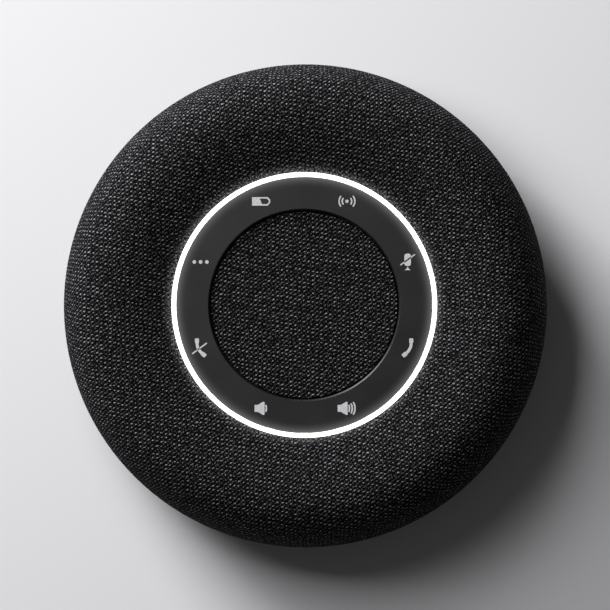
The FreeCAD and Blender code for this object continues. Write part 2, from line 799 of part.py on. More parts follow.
def make_driver():
    """Full-range driver: basket, cup yoke with a slug magnet, and the moving cone assembly."""
    gasket = new_body("driver_gasket")
    tube(gasket, "driver_hole", "flange_radius", "deck_height", "gasket_thick")
    holes(gasket, "driver_screw_circle", DRIVER_SCREWS, IN_RING,
          "small_shank_radius + screw_clearance", "flange_low", "gasket_thick")

    basket = new_body("driver_basket")
    outer = "flange_inner + basket_wall"
    revolve(basket, [
        ("flange_radius", "flange_low"),
        ("flange_radius", "flange_top"),
        ("flange_inner", "flange_top"),
        ("flange_inner", "spider_shelf_height"),
        ("spider_shelf_inner", "spider_shelf_height"),
        ("spider_shelf_inner", "spider_shelf_height - flange_thick"),
        ("yoke_radius + basket_wall", "yoke_top"),
        ("yoke_radius", "yoke_top"),
        ("yoke_radius", "basket_foot_height"),
        ("basket_foot_outer", "basket_foot_height"),
        ("spider_shelf_inner + flange_thick", "spider_shelf_height - basket_web"),
        (outer, "spider_shelf_height - flange_thick"),
        (outer, "flange_low"),
    ])
    holes(basket, "driver_screw_circle", DRIVER_SCREWS, IN_RING,
          "small_shank_radius + screw_clearance", "flange_top", "flange_thick")
    window = rectangle("-basket_window_width / 2", "spider_shelf_height + flange_thick",
                       "basket_window_width / 2", "flange_low - flange_thick")
    side = sketch_of(basket, "YZ_Plane", [window], level="spider_shelf_inner",
                     spin=BASKET_WINDOWS)
    ring_of(basket, [pocket(basket, side, "flange_radius - spider_shelf_inner", outward=True)],
            "basket_window_count")

    yoke = new_body("driver_yoke")
    revolve(yoke, [
        ("0", "yoke_height"),
        ("yoke_radius", "yoke_height"),
        ("yoke_radius", "yoke_top"),
        ("yoke_bore", "yoke_top"),
        ("yoke_bore", "yoke_floor"),
        ("0", "yoke_floor"),
    ])
    magnet = new_body("driver_magnet")
    pad(magnet, sketch_of(magnet, "XY_Plane", circles=[("0", "0", "magnet_radius")],
                          level="yoke_floor"), "magnet_thick")
    pole = new_body("driver_pole_plate")
    pad(pole, sketch_of(pole, "XY_Plane", circles=[("0", "0", "pole_radius")],
                        level="magnet_top"), "yoke_top - (magnet_top)")

    coil = new_body("voice_coil")
    wound = "coil_outer + coil_winding"
    revolve(coil, [
        ("coil_inner", "coil_low"),
        ("coil_outer", "coil_low"),
        ("coil_outer", "coil_wound_low"),
        (wound, "coil_wound_low"),
        (wound, "coil_wound_high"),
        ("coil_outer", "coil_wound_high"),
        ("coil_outer", "coil_high"),
        ("coil_inner", "coil_high"),
    ])
    cone = new_body("driver_cone")
    revolve(cone, [
        ("coil_outer", "cone_neck_height"),
        ("coil_outer + cone_thick", "cone_neck_height"),
        ("cone_edge_radius", "cone_edge_height - cone_thick"),
        ("cone_edge_radius", "cone_edge_height"),
        ("cone_edge_radius - cone_thick", "cone_edge_height"),
        ("coil_outer", "cone_neck_height + cone_neck_thick"),
    ])
    cap = new_body("dust_cap")
    rise = "sqrt(cap_bulge^2 - cap_base_radius^2)"
    top = f"cap_base_height + cap_bulge - {rise}"
    inner = "cap_bulge - cone_thick"
    revolve(cap, [
        (f"sqrt(({inner})^2 - ({rise})^2)", "cap_base_height"),
        ("cap_base_radius", "cap_base_height", "cap_bulge", True),
        ("0", top),
        ("0", f"{top} - cone_thick", inner, False),
    ])

    surround = new_body("driver_surround")
    seat = "flange_top"
    roll = "roll_radius + roll_skin"
    middle = "roll_inner + roll_radius"
    revolve(surround, [
        ("roll_inner - roll_lap", seat),
        ("roll_inner", seat, "roll_radius", False),
        (middle, f"{seat} + roll_radius", "roll_radius", False),
        (f"{middle} + roll_radius", seat),
        (f"{middle} + roll_radius + roll_lip", seat),
        (f"{middle} + roll_radius + roll_lip", f"{seat} + roll_skin"),
        (f"{middle} + {roll}", f"{seat} + roll_skin"),
        (f"{middle} + {roll}", f"{seat} + roll_skin / 2", roll, True),
        (middle, f"{seat} + roll_skin / 2 + {roll}", roll, True),
        (f"{middle} - ({roll})", f"{seat} + roll_skin / 2"),
        (f"{middle} - ({roll})", f"{seat} + roll_skin"),
        ("roll_inner - roll_lap", f"{seat} + roll_skin"),
    ])
    spider = new_body("driver_spider")
    tube(spider, "coil_outer", "spider_shelf_inner + spider_lap", "spider_shelf_height",
         "roll_skin")
    terminals = new_body("driver_terminals")
    board = centred("0", f"{outer} + flange_thick / 2", "terminal_width", "flange_thick")
    pad(terminals, sketch_of(terminals, "XY_Plane", [board], level="spider_shelf_height - flange_thick"),
        "flange_thick * 2")
    screws("driver_screws", "driver_screw_circle", DRIVER_SCREWS, IN_RING,
           "flange_top", "driver_boss_low + boss_wall + screw_room", "small_head_radius",
           "small_shank_radius")


def make_passive_radiators():
    """A weighted racetrack plate in a rubber roll and a frame, on each side of the driver."""
    for side, turn in (("right", 0), ("left", 180)):
        run = "radiator_half_run"
        frame = new_body(f"radiator_frame_{side}", turn)
        inner = "radiator_frame_half - radiator_frame_wall"
        rings = [pill("radiator_place", "0", run, "radiator_frame_half", upright=True),
                 pill("radiator_place", "0", run, inner, upright=True)]
        pad(frame, sketch_of(frame, "XY_Plane", rings, level="deck_height"),
            "radiator_frame_thick")
        roll = new_body(f"radiator_surround_{side}", turn)
        lip = [pill("radiator_place", "0", run, "radiator_frame_half", upright=True),
               pill("radiator_place", "0", run, "radiator_plate_half", upright=True)]
        pad(roll, sketch_of(roll, "XY_Plane", lip, level="radiator_frame_top"),
            "radiator_roll_skin")
        arch = [pill("radiator_place", "0", run, "radiator_roll_half", upright=True),
                pill("radiator_place", "0", run, "radiator_plate_half + radiator_roll_skin",
                     upright=True)]
        hump = pad(roll, sketch_of(roll, "XY_Plane", arch, level="radiator_frame_top"),
                   "radiator_roll_thick")
        fillet(roll, hump, edges_at(hump, "radiator_frame_top + radiator_roll_thick"),
               "radiator_roll_edge")
        plate = new_body(f"radiator_plate_{side}", turn)
        oval = pill("radiator_place", "0", run, "radiator_plate_half - radiator_roll_skin / 2",
                    upright=True)
        pad(plate, sketch_of(plate, "XY_Plane", [oval],
                             level="radiator_frame_top - radiator_plate_thick / 2"),
            "radiator_plate_thick")
        weight = new_body(f"radiator_weight_{side}", turn)
        slab = pill("radiator_place", "0", run, "radiator_weight_half", upright=True)
        low = "radiator_frame_top - radiator_plate_thick / 2 - radiator_weight_thick"
        pad(weight, sketch_of(weight, "XY_Plane", [slab], level=low), "radiator_weight_thick")


# ---------------------------------------------------------------- lower housing


def make_lower_housing():
    """Lower shell: a visible band, a floor with a groove for the foot and the battery bay."""
    body = new_body("lower_housing")
    groove = "base_height + foot_groove"
    inner_floor = "base_radius - housing_wall / 2"
    revolve(body, [
        ("bay_radius", "base_plate_seat"),
        ("base_plate_radius + base_plate_gap", "base_plate_seat"),
        ("base_plate_radius + base_plate_gap", "base_height"),
        ("foot_inner", "base_height"),
        ("foot_inner", groove),
        ("foot_outer", groove),
        ("foot_outer", "base_height"),
        ("base_radius", "base_height", "band_radius", True),
        ("band_top_radius", "band_top_height"),
        ("tongue_outer", "band_top_height"),
        ("tongue_outer", "tongue_height"),
        ("tongue_inner", "tongue_height"),
        ("tongue_inner", "band_top_height - housing_wall", "band_radius", False),
        (inner_floor, "housing_floor_top"),
        ("base_plate_radius + base_plate_gap", "housing_floor_top"),
        ("base_plate_radius + base_plate_gap", "bay_lip_top"),
        ("bay_radius", "bay_lip_top"),
    ])
    bosses(body, "housing_screw_circle", HOUSING_SCREWS, IN_RING, "housing_boss_radius",
           "housing_floor_top - foot_groove", "box_floor_low - housing_floor_top + foot_groove")
    x, y = on_circle("housing_screw_circle", HOUSING_SCREWS)
    head = sketch_of(body, "XY_Plane", circles=[(x, y, "head_radius + screw_clearance")],
                     level=groove)
    sink = pocket(body, head, "head_thick", outward=True)
    bore = sketch_of(body, "XY_Plane", circles=[(x, y, "shank_radius + screw_clearance")],
                     level=groove)
    ring_of(body, [sink, pocket(body, bore, "box_floor_low", outward=True)], IN_RING)
    bosses(body, "board_screw_circle", BOARD_SCREWS, IN_RING, "standoff_radius",
           "housing_floor_top", "main_board_height - housing_floor_top")
    holes(body, "board_screw_circle", BOARD_SCREWS, IN_RING, "small_shank_radius",
          "main_board_height", "main_board_height - housing_floor_top + foot_groove")
    bosses(body, "base_screw_circle", BASE_SCREWS, IN_RING,
           "shank_radius + boss_wall", "bay_lip_top", "base_boss_height - bay_lip_top")
    x, y = on_circle("base_screw_circle", BASE_SCREWS)
    bore = sketch_of(body, "XY_Plane", circles=[(x, y, "shank_radius")], level="base_plate_seat")
    ring_of(body, [pocket(body, bore, "base_boss_height - base_plate_seat - small_boss_wall",
                          outward=True)], IN_RING)
    block = rectangle("-inlet_block_half", "inlet_block_inner",
                      "inlet_block_half", "inlet_block_outer")
    block_low = "housing_floor_top - housing_floor / 2"
    pad(body, sketch_of(body, "XY_Plane", [block], level=block_low),
        f"band_top_height - ({block_low})")
    mouth = pill("0", "socket_height", "(inlet_width - inlet_thick) / 2", "inlet_thick / 2",
                 upright=False)
    pocket(body, sketch_of(body, "YZ_Plane", [mouth], level="inlet_back", spin=INLET),
           "body_radius - inlet_back", outward=True)
    hole = centred("0", "socket_height", "socket_width + socket_gap", "socket_thick + socket_gap")
    pocket(body, sketch_of(body, "YZ_Plane", [hole], level="socket_back", spin=INLET),
           "body_radius - socket_back", outward=True)
    slot = pill("0", "button_height", "button_half_run", "button_half_width + button_play",
                upright=False)
    pocket(body, sketch_of(body, "YZ_Plane", [slot],
                           level="button_flange_low + button_flange_thick / 2",
                           spin=SIZES["button_azimuth"]),
           "body_radius - button_flange_low", outward=True)
    screws("housing_screws", "housing_screw_circle", HOUSING_SCREWS, IN_RING,
                      f"{groove} + head_thick", "blind_boss_height - boss_wall - screw_room",
                      "head_radius", "shank_radius")


def make_foot_and_base():
    """Rubber foot ring in its groove, and the screwed plate that closes the battery bay."""
    foot = new_body("rubber_foot")
    top = "base_height + foot_groove"
    revolve(foot, [
        ("foot_inner + foot_edge", "0"),
        ("foot_outer - foot_edge", "0", "foot_edge", True),
        ("foot_outer", "foot_edge"),
        ("foot_outer", top),
        ("foot_inner", top),
        ("foot_inner", "foot_edge", "foot_edge", True),
    ])
    plate = new_body("base_plate")
    edge = "foot_edge"
    revolve(plate, [
        ("0", "base_plate_height"),
        (f"base_plate_radius - {edge}", "base_plate_height"),
        ("base_plate_radius", f"base_plate_height + {edge}"),
        ("base_plate_radius", "base_plate_seat"),
        ("0", "base_plate_seat"),
    ])
    x, y = on_circle("base_screw_circle", BASE_SCREWS)
    seat = "base_plate_height + head_thick + screw_clearance"
    sink_sketch = sketch_of(plate, "XY_Plane", circles=[(x, y, "small_head_radius")],
                            level="base_plate_height")
    sink = pocket(plate, sink_sketch, "head_thick + screw_clearance", outward=True)
    bore_sketch = sketch_of(plate, "XY_Plane", circles=[(x, y, "shank_radius")], level=seat)
    bore = pocket(plate, bore_sketch, "base_plate_seat", outward=True)
    ring_of(plate, [sink, bore], IN_RING)
    screws("base_screws", "base_screw_circle", BASE_SCREWS, IN_RING,
                      seat, "base_boss_height - boss_wall",
                      "small_head_radius - screw_clearance / 2", "shank_radius")


def make_battery():
    """Flat cell in a cradle on the base plate, held down by a foam pad."""
    cell = new_body("battery_cell")
    outline = centred("0", "0", "battery_length", "battery_width")
    slab = pad(cell, sketch_of(cell, "XY_Plane", [outline], level="battery_height"),
               "battery_thick")
    fillet(cell, slab, edges_at(slab, "battery_top") + edges_at(slab, "battery_height"),
           "battery_edge")
    cradle = new_body("battery_cradle")
    inner = ("battery_length + cradle_gap * 2", "battery_width + cradle_gap * 2")
    outer = [f"{side} + cradle_wall * 2" for side in inner]
    frame = [centred("0", "0", *outer), centred("0", "0", *inner)]
    pad(cradle, sketch_of(cradle, "XY_Plane", frame, level="base_plate_seat"), "cradle_thick")
    foam = new_body("battery_foam")
    sheet_outline = centred("0", "0", "foam_length", "foam_width")
    pad(foam, sketch_of(foam, "XY_Plane", [sheet_outline], level="battery_top"), "foam_thick")
    lead = new_body("battery_lead")
    wires = [(side, "main_board_top + plug_thick / 2", "lead_radius")
             for side in ("lead_spacing", "-lead_spacing")]
    pad(lead, sketch_of(lead, "YZ_Plane", circles=wires, level="battery_length / 2"),
        "plug_place - plug_side / 2 - battery_length / 2")


def make_main_board():
    """Ring-shaped main board round the battery bay, with its parts."""
    board = new_body("main_board")
    tube(board, "main_board_inner", "main_board_outer", "main_board_height", "main_board_thick")
    holes(board, "housing_screw_circle", HOUSING_SCREWS, IN_RING,
          "housing_boss_radius + screw_clearance", "main_board_top", "main_board_thick")
    holes(board, "board_screw_circle", BOARD_SCREWS, IN_RING,
          "small_shank_radius + screw_clearance", "main_board_top", "main_board_thick")
    notch = rectangle("-socket_width / 2 - screw_clearance", "socket_back - screw_clearance",
                      "socket_width / 2 + screw_clearance", "main_board_outer + cut_past")
    pocket(board, sketch_of(board, "XY_Plane", [notch], level="main_board_top"),
           "main_board_thick")
    rim = rectangle("-inlet_block_half - screw_clearance", "inlet_block_inner - screw_clearance",
                    "inlet_block_half + screw_clearance", "main_board_outer + cut_past")
    pocket(board, sketch_of(board, "XY_Plane", [rim], level="main_board_top"),
           "main_board_thick")
    screws("board_screws", "board_screw_circle", BOARD_SCREWS, IN_RING,
           "main_board_top", "housing_floor_top - foot_groove", "small_head_radius",
           "small_shank_radius")
    can = new_body("shield_can", SHIELD_CAN)
    pad(can, sketch_of(can, "XY_Plane", [centred("can_place", "0", "can_width", "can_length")],
                       level="main_board_top"), "can_thick")
    chips = new_body("board_chips", CHIPS)
    chip = centred("can_place", "0", "chip_side", "chip_side")
    ring_of(chips, [pad(chips, sketch_of(chips, "XY_Plane", [chip], level="main_board_top"),
                        "chip_thick")], "chip_count")
    antenna = new_body("antenna_board", ANTENNA)
    strip = centred("can_place", "0", "antenna_width", "antenna_length")
    pad(antenna, sketch_of(antenna, "XY_Plane", [strip], level="main_board_top"),
        "antenna_thick")
    plugs = new_body("board_plugs")
    block = centred("plug_place", "0", "plug_side", "plug_side")
    ring_of(plugs, [pad(plugs, sketch_of(plugs, "XY_Plane", [block], level="main_board_top"),
                        "plug_thick")], "plug_count")


def make_charging_socket():
    """Metal shell of the charging socket with its contact tongue, facing +Y."""
    shell = new_body("charging_socket_shell")
    radius = "socket_thick / 2"
    outer = pill("0", "socket_height", "(socket_width - socket_thick) / 2", radius,
                 upright=False)
    tunnel = pill("0", "socket_height", "(socket_width - socket_thick) / 2",
                  f"{radius} - socket_metal", upright=False)
    pad(shell, sketch_of(shell, "YZ_Plane", [outer], level="socket_back", spin=INLET),
        "socket_length")
    pocket(shell, sketch_of(shell, "YZ_Plane", [tunnel], level="socket_back + socket_back_wall",
                            spin=INLET), "socket_length", outward=True)
    tongue = new_body("charging_socket_tongue")
    blade = centred("0", "socket_height", "tongue_width", "tongue_thick")
    pad(tongue, sketch_of(tongue, "YZ_Plane", [blade], level="socket_back + socket_back_wall",
                          spin=INLET), "tongue_length")


def make_power_button():
    """Pill-shaped button with a flange behind the wall, its plunger and the switch."""
    turn = SIZES["button_azimuth"]
    button = new_body("power_button", turn)
    flange = pill("0", "button_height", "button_flange_half_run", "button_flange_half",
                  upright=False)
    pad(button, sketch_of(button, "YZ_Plane", [flange], level="button_flange_low"),
        "button_flange_thick")
    cap = pill("0", "button_height", "button_half_run", "button_half_width", upright=False)
    pad(button, sketch_of(button, "YZ_Plane", [cap],
                          level="button_flange_low + button_flange_thick"),
        "button_face - button_flange_low - button_flange_thick")
    plunger = new_body("switch_plunger", turn)
    stem = centred("0", "button_height + button_play", "plunger_half * 2", "plunger_half * 2")
    pad(plunger, sketch_of(plunger, "YZ_Plane", [stem], level="plunger_low"),
        "button_flange_low - plunger_low")
    switch = new_body("power_switch", turn)
    case = rectangle("switch_low", "-switch_half", "switch_front", "switch_half")
    pad(switch, sketch_of(switch, "XY_Plane", [case], level="main_board_top"),
        "switch_top - (main_board_top)")
    bore = centred("0", "button_height + button_play", "plunger_half * 2 + button_play",
                   "plunger_half * 2 + button_play")
    pocket(switch, sketch_of(switch, "YZ_Plane", [bore], level="plunger_low - plunger_half"),
           "switch_front - plunger_low + plunger_half", outward=True)


def save_parts():
    """Check every object and write each body to its own file."""
    doc.recompute()
    for thing in doc.Objects:
        if "Invalid" in thing.State or "Error" in thing.State:
            raise RuntimeError(f"{thing.Label} did not recompute: {thing.State}")
    os.makedirs("parts", exist_ok=True)
    bodies = [thing for thing in doc.Objects if thing.TypeId == "PartDesign::Body"]
    for body in bodies:
        if body.Shape.isNull() or not body.Shape.isValid():
            raise RuntimeError(f"{body.Label} has no valid shape")
    for body in bodies:
        body.Shape.exportStep(f"parts/{body.Label}.step")
        print(f"{body.Label}: {len(body.Shape.Solids)} solids, {body.Shape.Volume:.1f} mm3")
    print(len(bodies), "parts")


make_cover()
make_grille()
make_middle()
make_touch_ring()
make_light_ring()
make_microphones()
make_speaker_box()
make_driver()
make_passive_radiators()
make_lower_housing()
make_foot_and_base()
make_battery()
make_main_board()
make_charging_socket()
make_power_button()
save_parts()
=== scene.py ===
"""Looks of a round conference speakerphone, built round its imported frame.

Sizes are in metres and in the frame's own axes: +Z up, -Y towards the person who reads the marks.
"""
import math
import bpy
import bmesh
from bpy.props import FloatProperty, FloatVectorProperty, IntProperty, PointerProperty
from mathutils import Matrix, Vector


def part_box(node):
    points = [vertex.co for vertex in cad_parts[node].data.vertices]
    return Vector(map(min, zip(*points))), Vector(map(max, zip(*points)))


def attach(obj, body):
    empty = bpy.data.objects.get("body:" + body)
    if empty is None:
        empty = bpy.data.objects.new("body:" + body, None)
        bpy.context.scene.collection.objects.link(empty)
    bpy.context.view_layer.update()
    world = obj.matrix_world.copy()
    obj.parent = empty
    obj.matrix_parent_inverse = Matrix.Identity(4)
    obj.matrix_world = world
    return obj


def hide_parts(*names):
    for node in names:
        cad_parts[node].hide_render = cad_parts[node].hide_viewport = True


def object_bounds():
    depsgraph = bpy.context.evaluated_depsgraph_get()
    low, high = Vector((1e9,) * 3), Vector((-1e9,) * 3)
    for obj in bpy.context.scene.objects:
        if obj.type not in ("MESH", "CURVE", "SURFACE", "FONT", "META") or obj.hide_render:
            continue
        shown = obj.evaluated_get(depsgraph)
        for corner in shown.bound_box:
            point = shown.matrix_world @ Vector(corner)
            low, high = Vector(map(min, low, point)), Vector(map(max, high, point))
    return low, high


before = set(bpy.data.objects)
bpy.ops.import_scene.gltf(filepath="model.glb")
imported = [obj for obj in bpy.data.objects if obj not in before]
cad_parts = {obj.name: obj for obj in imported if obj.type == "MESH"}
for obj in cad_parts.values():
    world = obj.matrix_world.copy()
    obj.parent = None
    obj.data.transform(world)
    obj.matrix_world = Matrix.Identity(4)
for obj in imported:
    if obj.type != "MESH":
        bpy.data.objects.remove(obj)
CAD_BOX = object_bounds()

bl_info = {
    "name": "Conference speakerphone",
    "version": (1, 0, 0),
    "blender": (4, 5, 0),
    "location": "3D View > Sidebar > Speakerphone",
    "description": "Builds the visible pieces and finishes of a round conference speakerphone",
    "category": "Object",
}

MM = 0.001
UP = Vector((0, 0, 1))
UPRIGHT = math.pi / 2
SHARP = math.radians(35)

# how finely the turned pieces are drawn
RING_STEPS = 256
FOOT_STEPS = 192
FOLD_STEPS = 6
BROW_STEPS = 20
SHOULDER_STEPS = 16
SIDE_STEPS = 36
DOME_STEPS = 12
PILL_STEPS = 12

# where the studio's things stand, in metres
KEY_PLACE, KEY_WIDTH = (-1.55, 1.95, 0.72), 1.2
FILL_PLACE, FILL_WIDTH = (-0.22, 0.22, 0.42), 0.3
FLOOR_HALF = 3
AIM_OFFSET = Vector((-0.08, 0.22, 0)) * MM


def linear(code):
    """The linear colour of an sRGB hex code, with full alpha."""
    parts = [int(code[place:place + 2], 16) / 255 for place in (1, 3, 5)]
    return (*[part / 12.92 if part <= 0.04045 else ((part + 0.055) / 1.055) ** 2.4
              for part in parts], 1.0)


def size(name, description, millimetres):
    """A length that a user may change."""
    return FloatProperty(name=name, description=description, default=millimetres * MM,
                         unit="LENGTH", precision=5)


def angle(name, description, degrees):
    """An angle that a user may change."""
    return FloatProperty(name=name, description=description, default=math.radians(degrees),
                         subtype="ANGLE")


def colour(name, description, code):
    """A colour that a user may change."""
    return FloatVectorProperty(name=name, description=description, default=linear(code),
                               size=4, subtype="COLOR", min=0, max=1)


def amount(name, description, value):
    """A plain number that a user may change."""
    return FloatProperty(name=name, description=description, default=value, precision=4)


# ---------------------------------------------------------------- sizes and colours


class ClothSettings(bpy.types.PropertyGroup):
    """The cover's form and the weave of its cloth."""
    mouth_radius: size("Mouth radius", "Radius of the cover's inner edge", 36.05)
    crest_radius: size("Crest radius", "Radius at which the cover is highest", 53.5)
    brow_radius: size("Brow radius", "Radius of the curve inside the crest", 25.4)
    brow_slope: angle("Brow slope", "Slope of the dish's side", 22)
    shoulder_radius: size("Shoulder radius", "Radius of the curve outside the crest", 10)
    shoulder_angle: angle("Shoulder angle", "Where the shoulder turns into the side", 30)
    thickness: size("Thickness", "Thickness of the cloth", 0.75)
    fold: size("Fold", "Radius of the fold at the cover's edges", 0.85)
    turn_in: size("Turn-in", "Width of the cloth folded under the body", 2.0)
    give: amount("Give", "Share of its length that the cloth keeps down the side", 0.82)
    disc_dome: size("Disc dome", "Rise of the middle disc's centre", 0.15)
    pitch: size("Thread pitch", "Distance between neighbouring threads", 1.193)
    skew: amount("Skew", "Slant of the weft across the warp", 0.1835)
    crown: size("Crown", "Height of a thread's crown", 0.30)
    dash_turn: angle("Dash turn", "How far the dashes of the weft lean", 18)
    dash_length: amount("Dash length", "Half a dash's length, in pitches", 0.43)
    dash_width: amount("Dash width", "Half a dash's width, in pitches", 0.245)
    between: amount("Between", "How high the warp stands between the dashes", 0.32)
    # the cloth's glow beside the light ring is painted light: emission among the threads that
    # stands in for the ring's light
    leak: amount("Leak", "Brightness of the light that gets in among the threads", 0.16)
    painted_spill_width: size("Leak width", "How far that light reaches", 3.5)
    steps: IntProperty(name="Steps", description="Steps round the cover", default=288, min=32)
    dark_yarn: colour("Dark yarn", "Colour of the black threads", "#121213")
    light_yarn: colour("Light yarn", "Colour of the grey fibres", "#7e7e81")
    # painted shade: the gap colour is darker than the darkest yarn, where shade falls between the
    # threads
    gap: colour("Gap", "Colour between the threads", "#050506")


class RingSettings(bpy.types.PropertyGroup):
    """The touch ring, its marks and the light ring."""
    plate: size("Plate", "Thickness of the touch ring's plate", 1.1)
    skirt: size("Skirt", "Thickness of the touch ring's inner wall", 1.2)
    disc_gap: size("Disc gap", "Gap between the touch ring and the cloth disc", 0.3)
    chamfer: size("Chamfer", "Chamfer of the touch ring's inner rim", 0.4)
    edge: size("Edge", "Radius of moulded edges", 0.12)
    guide_inner: size("Light inner radius", "Inner radius of the light ring", 34.85)
    guide_outer: size("Light outer radius", "Outer radius of the light ring", 35.85)
    flange: size("Flange", "Thickness of the light ring's flange", 0.7)
    mark_circle: size("Mark circle", "Radius of the circle that the marks stand on", 30.4)
    ink_height: size("Ink height", "Thickness of the printed ink", 0.02)
    # the touch ring's glow is painted light: emission on the plate's outer rim that stands in for
    # the light ring's spill
    painted_glow_width: size("Glow width", "Width of the rim that the light shows through", 3.7)
    glow: amount("Glow", "Brightness of the light that shows through the rim", 0.13)
    light: amount("Light", "Brightness of the light ring", 2)
    panel: colour("Panel", "Colour of the touch ring", "#0d0d10")
    ink: colour("Ink", "Colour of the printed marks", "#b9b9bb")


class HousingSettings(bpy.types.PropertyGroup):
    """The lower housing, its foot and its button."""
    foot_width: size("Foot width", "Width of the foot's ring", 10.5)
    foot_edge: size("Foot edge", "Radius of the foot's lower edges", 0.6)
    foot_rib: size("Foot rib", "Distance between the ribs under the foot", 1.75)
    rib_depth: size("Rib depth", "Depth of the grooves between the ribs", 0.25)
    rib_edge: size("Rib edge", "Radius of the ribs' edges", 0.08)
    button_azimuth: angle("Button azimuth", "Where the power button sits, round from +X", 118)
    button_face: size("Button face", "How far the button's face is from the axis", 63.4)
    button_back: size("Button back", "How far the button's flange is from the axis", 56.9)
    button_flange: size("Button flange", "Thickness of the button's flange", 0.8)
    button_margin: size("Button margin", "How much longer the flange is at each end", 0.6)
    button_height: size("Button height", "Height of the button's middle", 7.2)
    button_run: size("Button run", "Half of the button's straight length", 2.6)
    button_half: size("Button half", "Half of the button's height", 1.9)
    button_edge: size("Button edge", "Radius of the button's edge", 0.35)
    button_dish: size("Button dish", "Depth of the dish in the button's face", 0.2)
    button_rim: size("Button rim", "Width of the rim round the dish", 0.25)


class StageSettings(bpy.types.PropertyGroup):
    """The floor, the lights and the camera."""
    camera_height: FloatProperty(name="Camera height", description="Height of the camera",
                                 default=2.0, unit="LENGTH")
    camera_right: angle("Camera right", "How far the camera leans to the right", 1.29)
    camera_near: angle("Camera near", "How far the camera leans to the front", 1.07)
    picture_width: size("Picture width", "Width of what the camera sees", 166.6)
    floor: colour("Floor", "Colour of the floor", "#d0d0d3")
    key: amount("Key light", "Power of the key light in watts", 121)
    fill: amount("Fill light", "Power of the fill light in watts", 2.2)
    sky: amount("Sky", "Strength of the even light", 0.06)


class Settings(bpy.types.PropertyGroup):
    """All sizes and colours of the speakerphone."""
    cloth: PointerProperty(type=ClothSettings)
    ring: PointerProperty(type=RingSettings)
    housing: PointerProperty(type=HousingSettings)
    stage: PointerProperty(type=StageSettings)


# ---------------------------------------------------------------- mesh tools


def arc(centre, radius, start, stop, steps):
    """Points (r, z) on an arc, from one angle to another."""
    turn = (stop - start) / steps
    return [(centre[0] + radius * math.cos(start + turn * step),
             centre[1] + radius * math.sin(start + turn * step)) for step in range(steps + 1)]


def rounded(corners, steps=4):
    """An outline (r, z) whose corners (r, z, radius) are cut by arcs."""
    outline = []
    for number, (r, z, radius) in enumerate(corners):
        here = Vector((r, z))
        before = Vector(corners[number - 1][:2]) - here
        after = Vector(corners[(number + 1) % len(corners)][:2]) - here
        half = before.angle(after) / 2
        if not radius:
            outline.append((r, z))
            continue
        centre = here + (before.normalized() + after.normalized()).normalized() * (
            radius / math.sin(half))
        start = here + before.normalized() * (radius / math.tan(half)) - centre
        stop = here + after.normalized() * (radius / math.tan(half)) - centre
        first = math.atan2(start.y, start.x)
        turn = (math.atan2(stop.y, stop.x) - first + math.pi) % (2 * math.pi) - math.pi
        outline += arc(centre, radius, first, first + turn, steps)
    return outline


def spin_outline(bm, outline, steps, closed=True):
    """Turn an outline of (r, z) points a full turn about Z."""
    verts = [bm.verts.new((r, 0, z)) for r, z in outline]
    edges = [bm.edges.new(pair) for pair in zip(verts, verts[1:])]
    if closed:
        edges.append(bm.edges.new((verts[-1], verts[0])))
    bmesh.ops.spin(bm, geom=verts + edges, axis=UP, cent=(0, 0, 0), angle=2 * math.pi,
                   steps=steps, use_merge=True)
    bmesh.ops.remove_doubles(bm, verts=bm.verts, dist=MM / 1000)


def only(items, kind):
    """The items of one kind."""
    return [item for item in items if isinstance(item, kind)]


def make_piece(name, bm, body, slot, replaced=(), looks=None):
    """Make the object and hang it on its body.

    Its finish is that of its slot, unless looks names another.
    """
    bmesh.ops.recalc_face_normals(bm, faces=bm.faces)
    for face in bm.faces:
        face.smooth = True
    mesh = bpy.data.meshes.new(name)
    bm.to_mesh(mesh)
    bm.free()
    mesh.set_sharp_from_angle(angle=SHARP)
    mesh.materials.append(finish(looks or slot))
    piece = bpy.data.objects.new(name, mesh)
    bpy.context.scene.collection.objects.link(piece)
    piece.modifiers.new("even_normals", "WEIGHTED_NORMAL").keep_sharp = True
    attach(piece, body)
    if replaced:
        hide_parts(*replaced)
    return piece


# ---------------------------------------------------------------- finishes


def add(tree, kind, inputs=None, **settings):
    """Add a node with its settings.  Inputs are values, or sockets to link from."""
    node = tree.nodes.new("ShaderNode" + kind)
    for key, value in settings.items():
        setattr(node, key, value)
    for key, value in (inputs or {}).items():
        if isinstance(value, bpy.types.NodeSocket):
            tree.links.new(value, node.inputs[key])
        else:
            node.inputs[key].default_value = value
    return node


def new_material(name):
    """An empty material and its node tree."""
    material = bpy.data.materials.new(name)
    material.use_nodes = True
    material.node_tree.nodes.clear()
    return material, material.node_tree


def where(tree):
    """Each point's place in its object."""
    return add(tree, "TexCoord").outputs["Object"]


def from_axis(tree):
    """Each point's distance from the Z axis."""
    flat = add(tree, "VectorMath", {0: where(tree), 1: (1, 1, 0)}, operation="MULTIPLY").outputs[0]
    return add(tree, "VectorMath", {0: flat}, operation="LENGTH").outputs["Value"]


def noise(tree, place, width, detail=2.0, **inputs):
    """Noise with patches about that wide, in millimetres."""
    return add(tree, "TexNoise", {"Vector": place, "Scale": 1 / (width * MM), "Detail": detail,
                                  **inputs}).outputs[0]


def calculate(tree, operation, *values, clamp=False):
    """The result of one calculation."""
    return add(tree, "Math", dict(enumerate(values)), operation=operation,
               use_clamp=clamp).outputs[0]


def spread(tree, value, low, high, start=0.0, stop=1.0):
    """A value that runs from low to high while the given one runs from start to stop."""
    return add(tree, "MapRange", {0: value, 1: start, 2: stop, 3: low, 4: high}).outputs[0]


def mixed(tree, share, first, second):
    """A colour between two others."""
    return add(tree, "Mix", {0: share, 6: first, 7: second}, data_type="RGBA").outputs[2]


def relief(tree, height, strength, depth):
    """A bump of that depth in millimetres."""
    return add(tree, "Bump", {"Height": height, "Strength": strength,
                              "Distance": depth * MM}).outputs[0]


def surface(tree, inputs):
    """End a material with its shader."""
    shader = add(tree, "BsdfPrincipled", inputs)
    add(tree, "OutputMaterial", {"Surface": shader.outputs[0]})


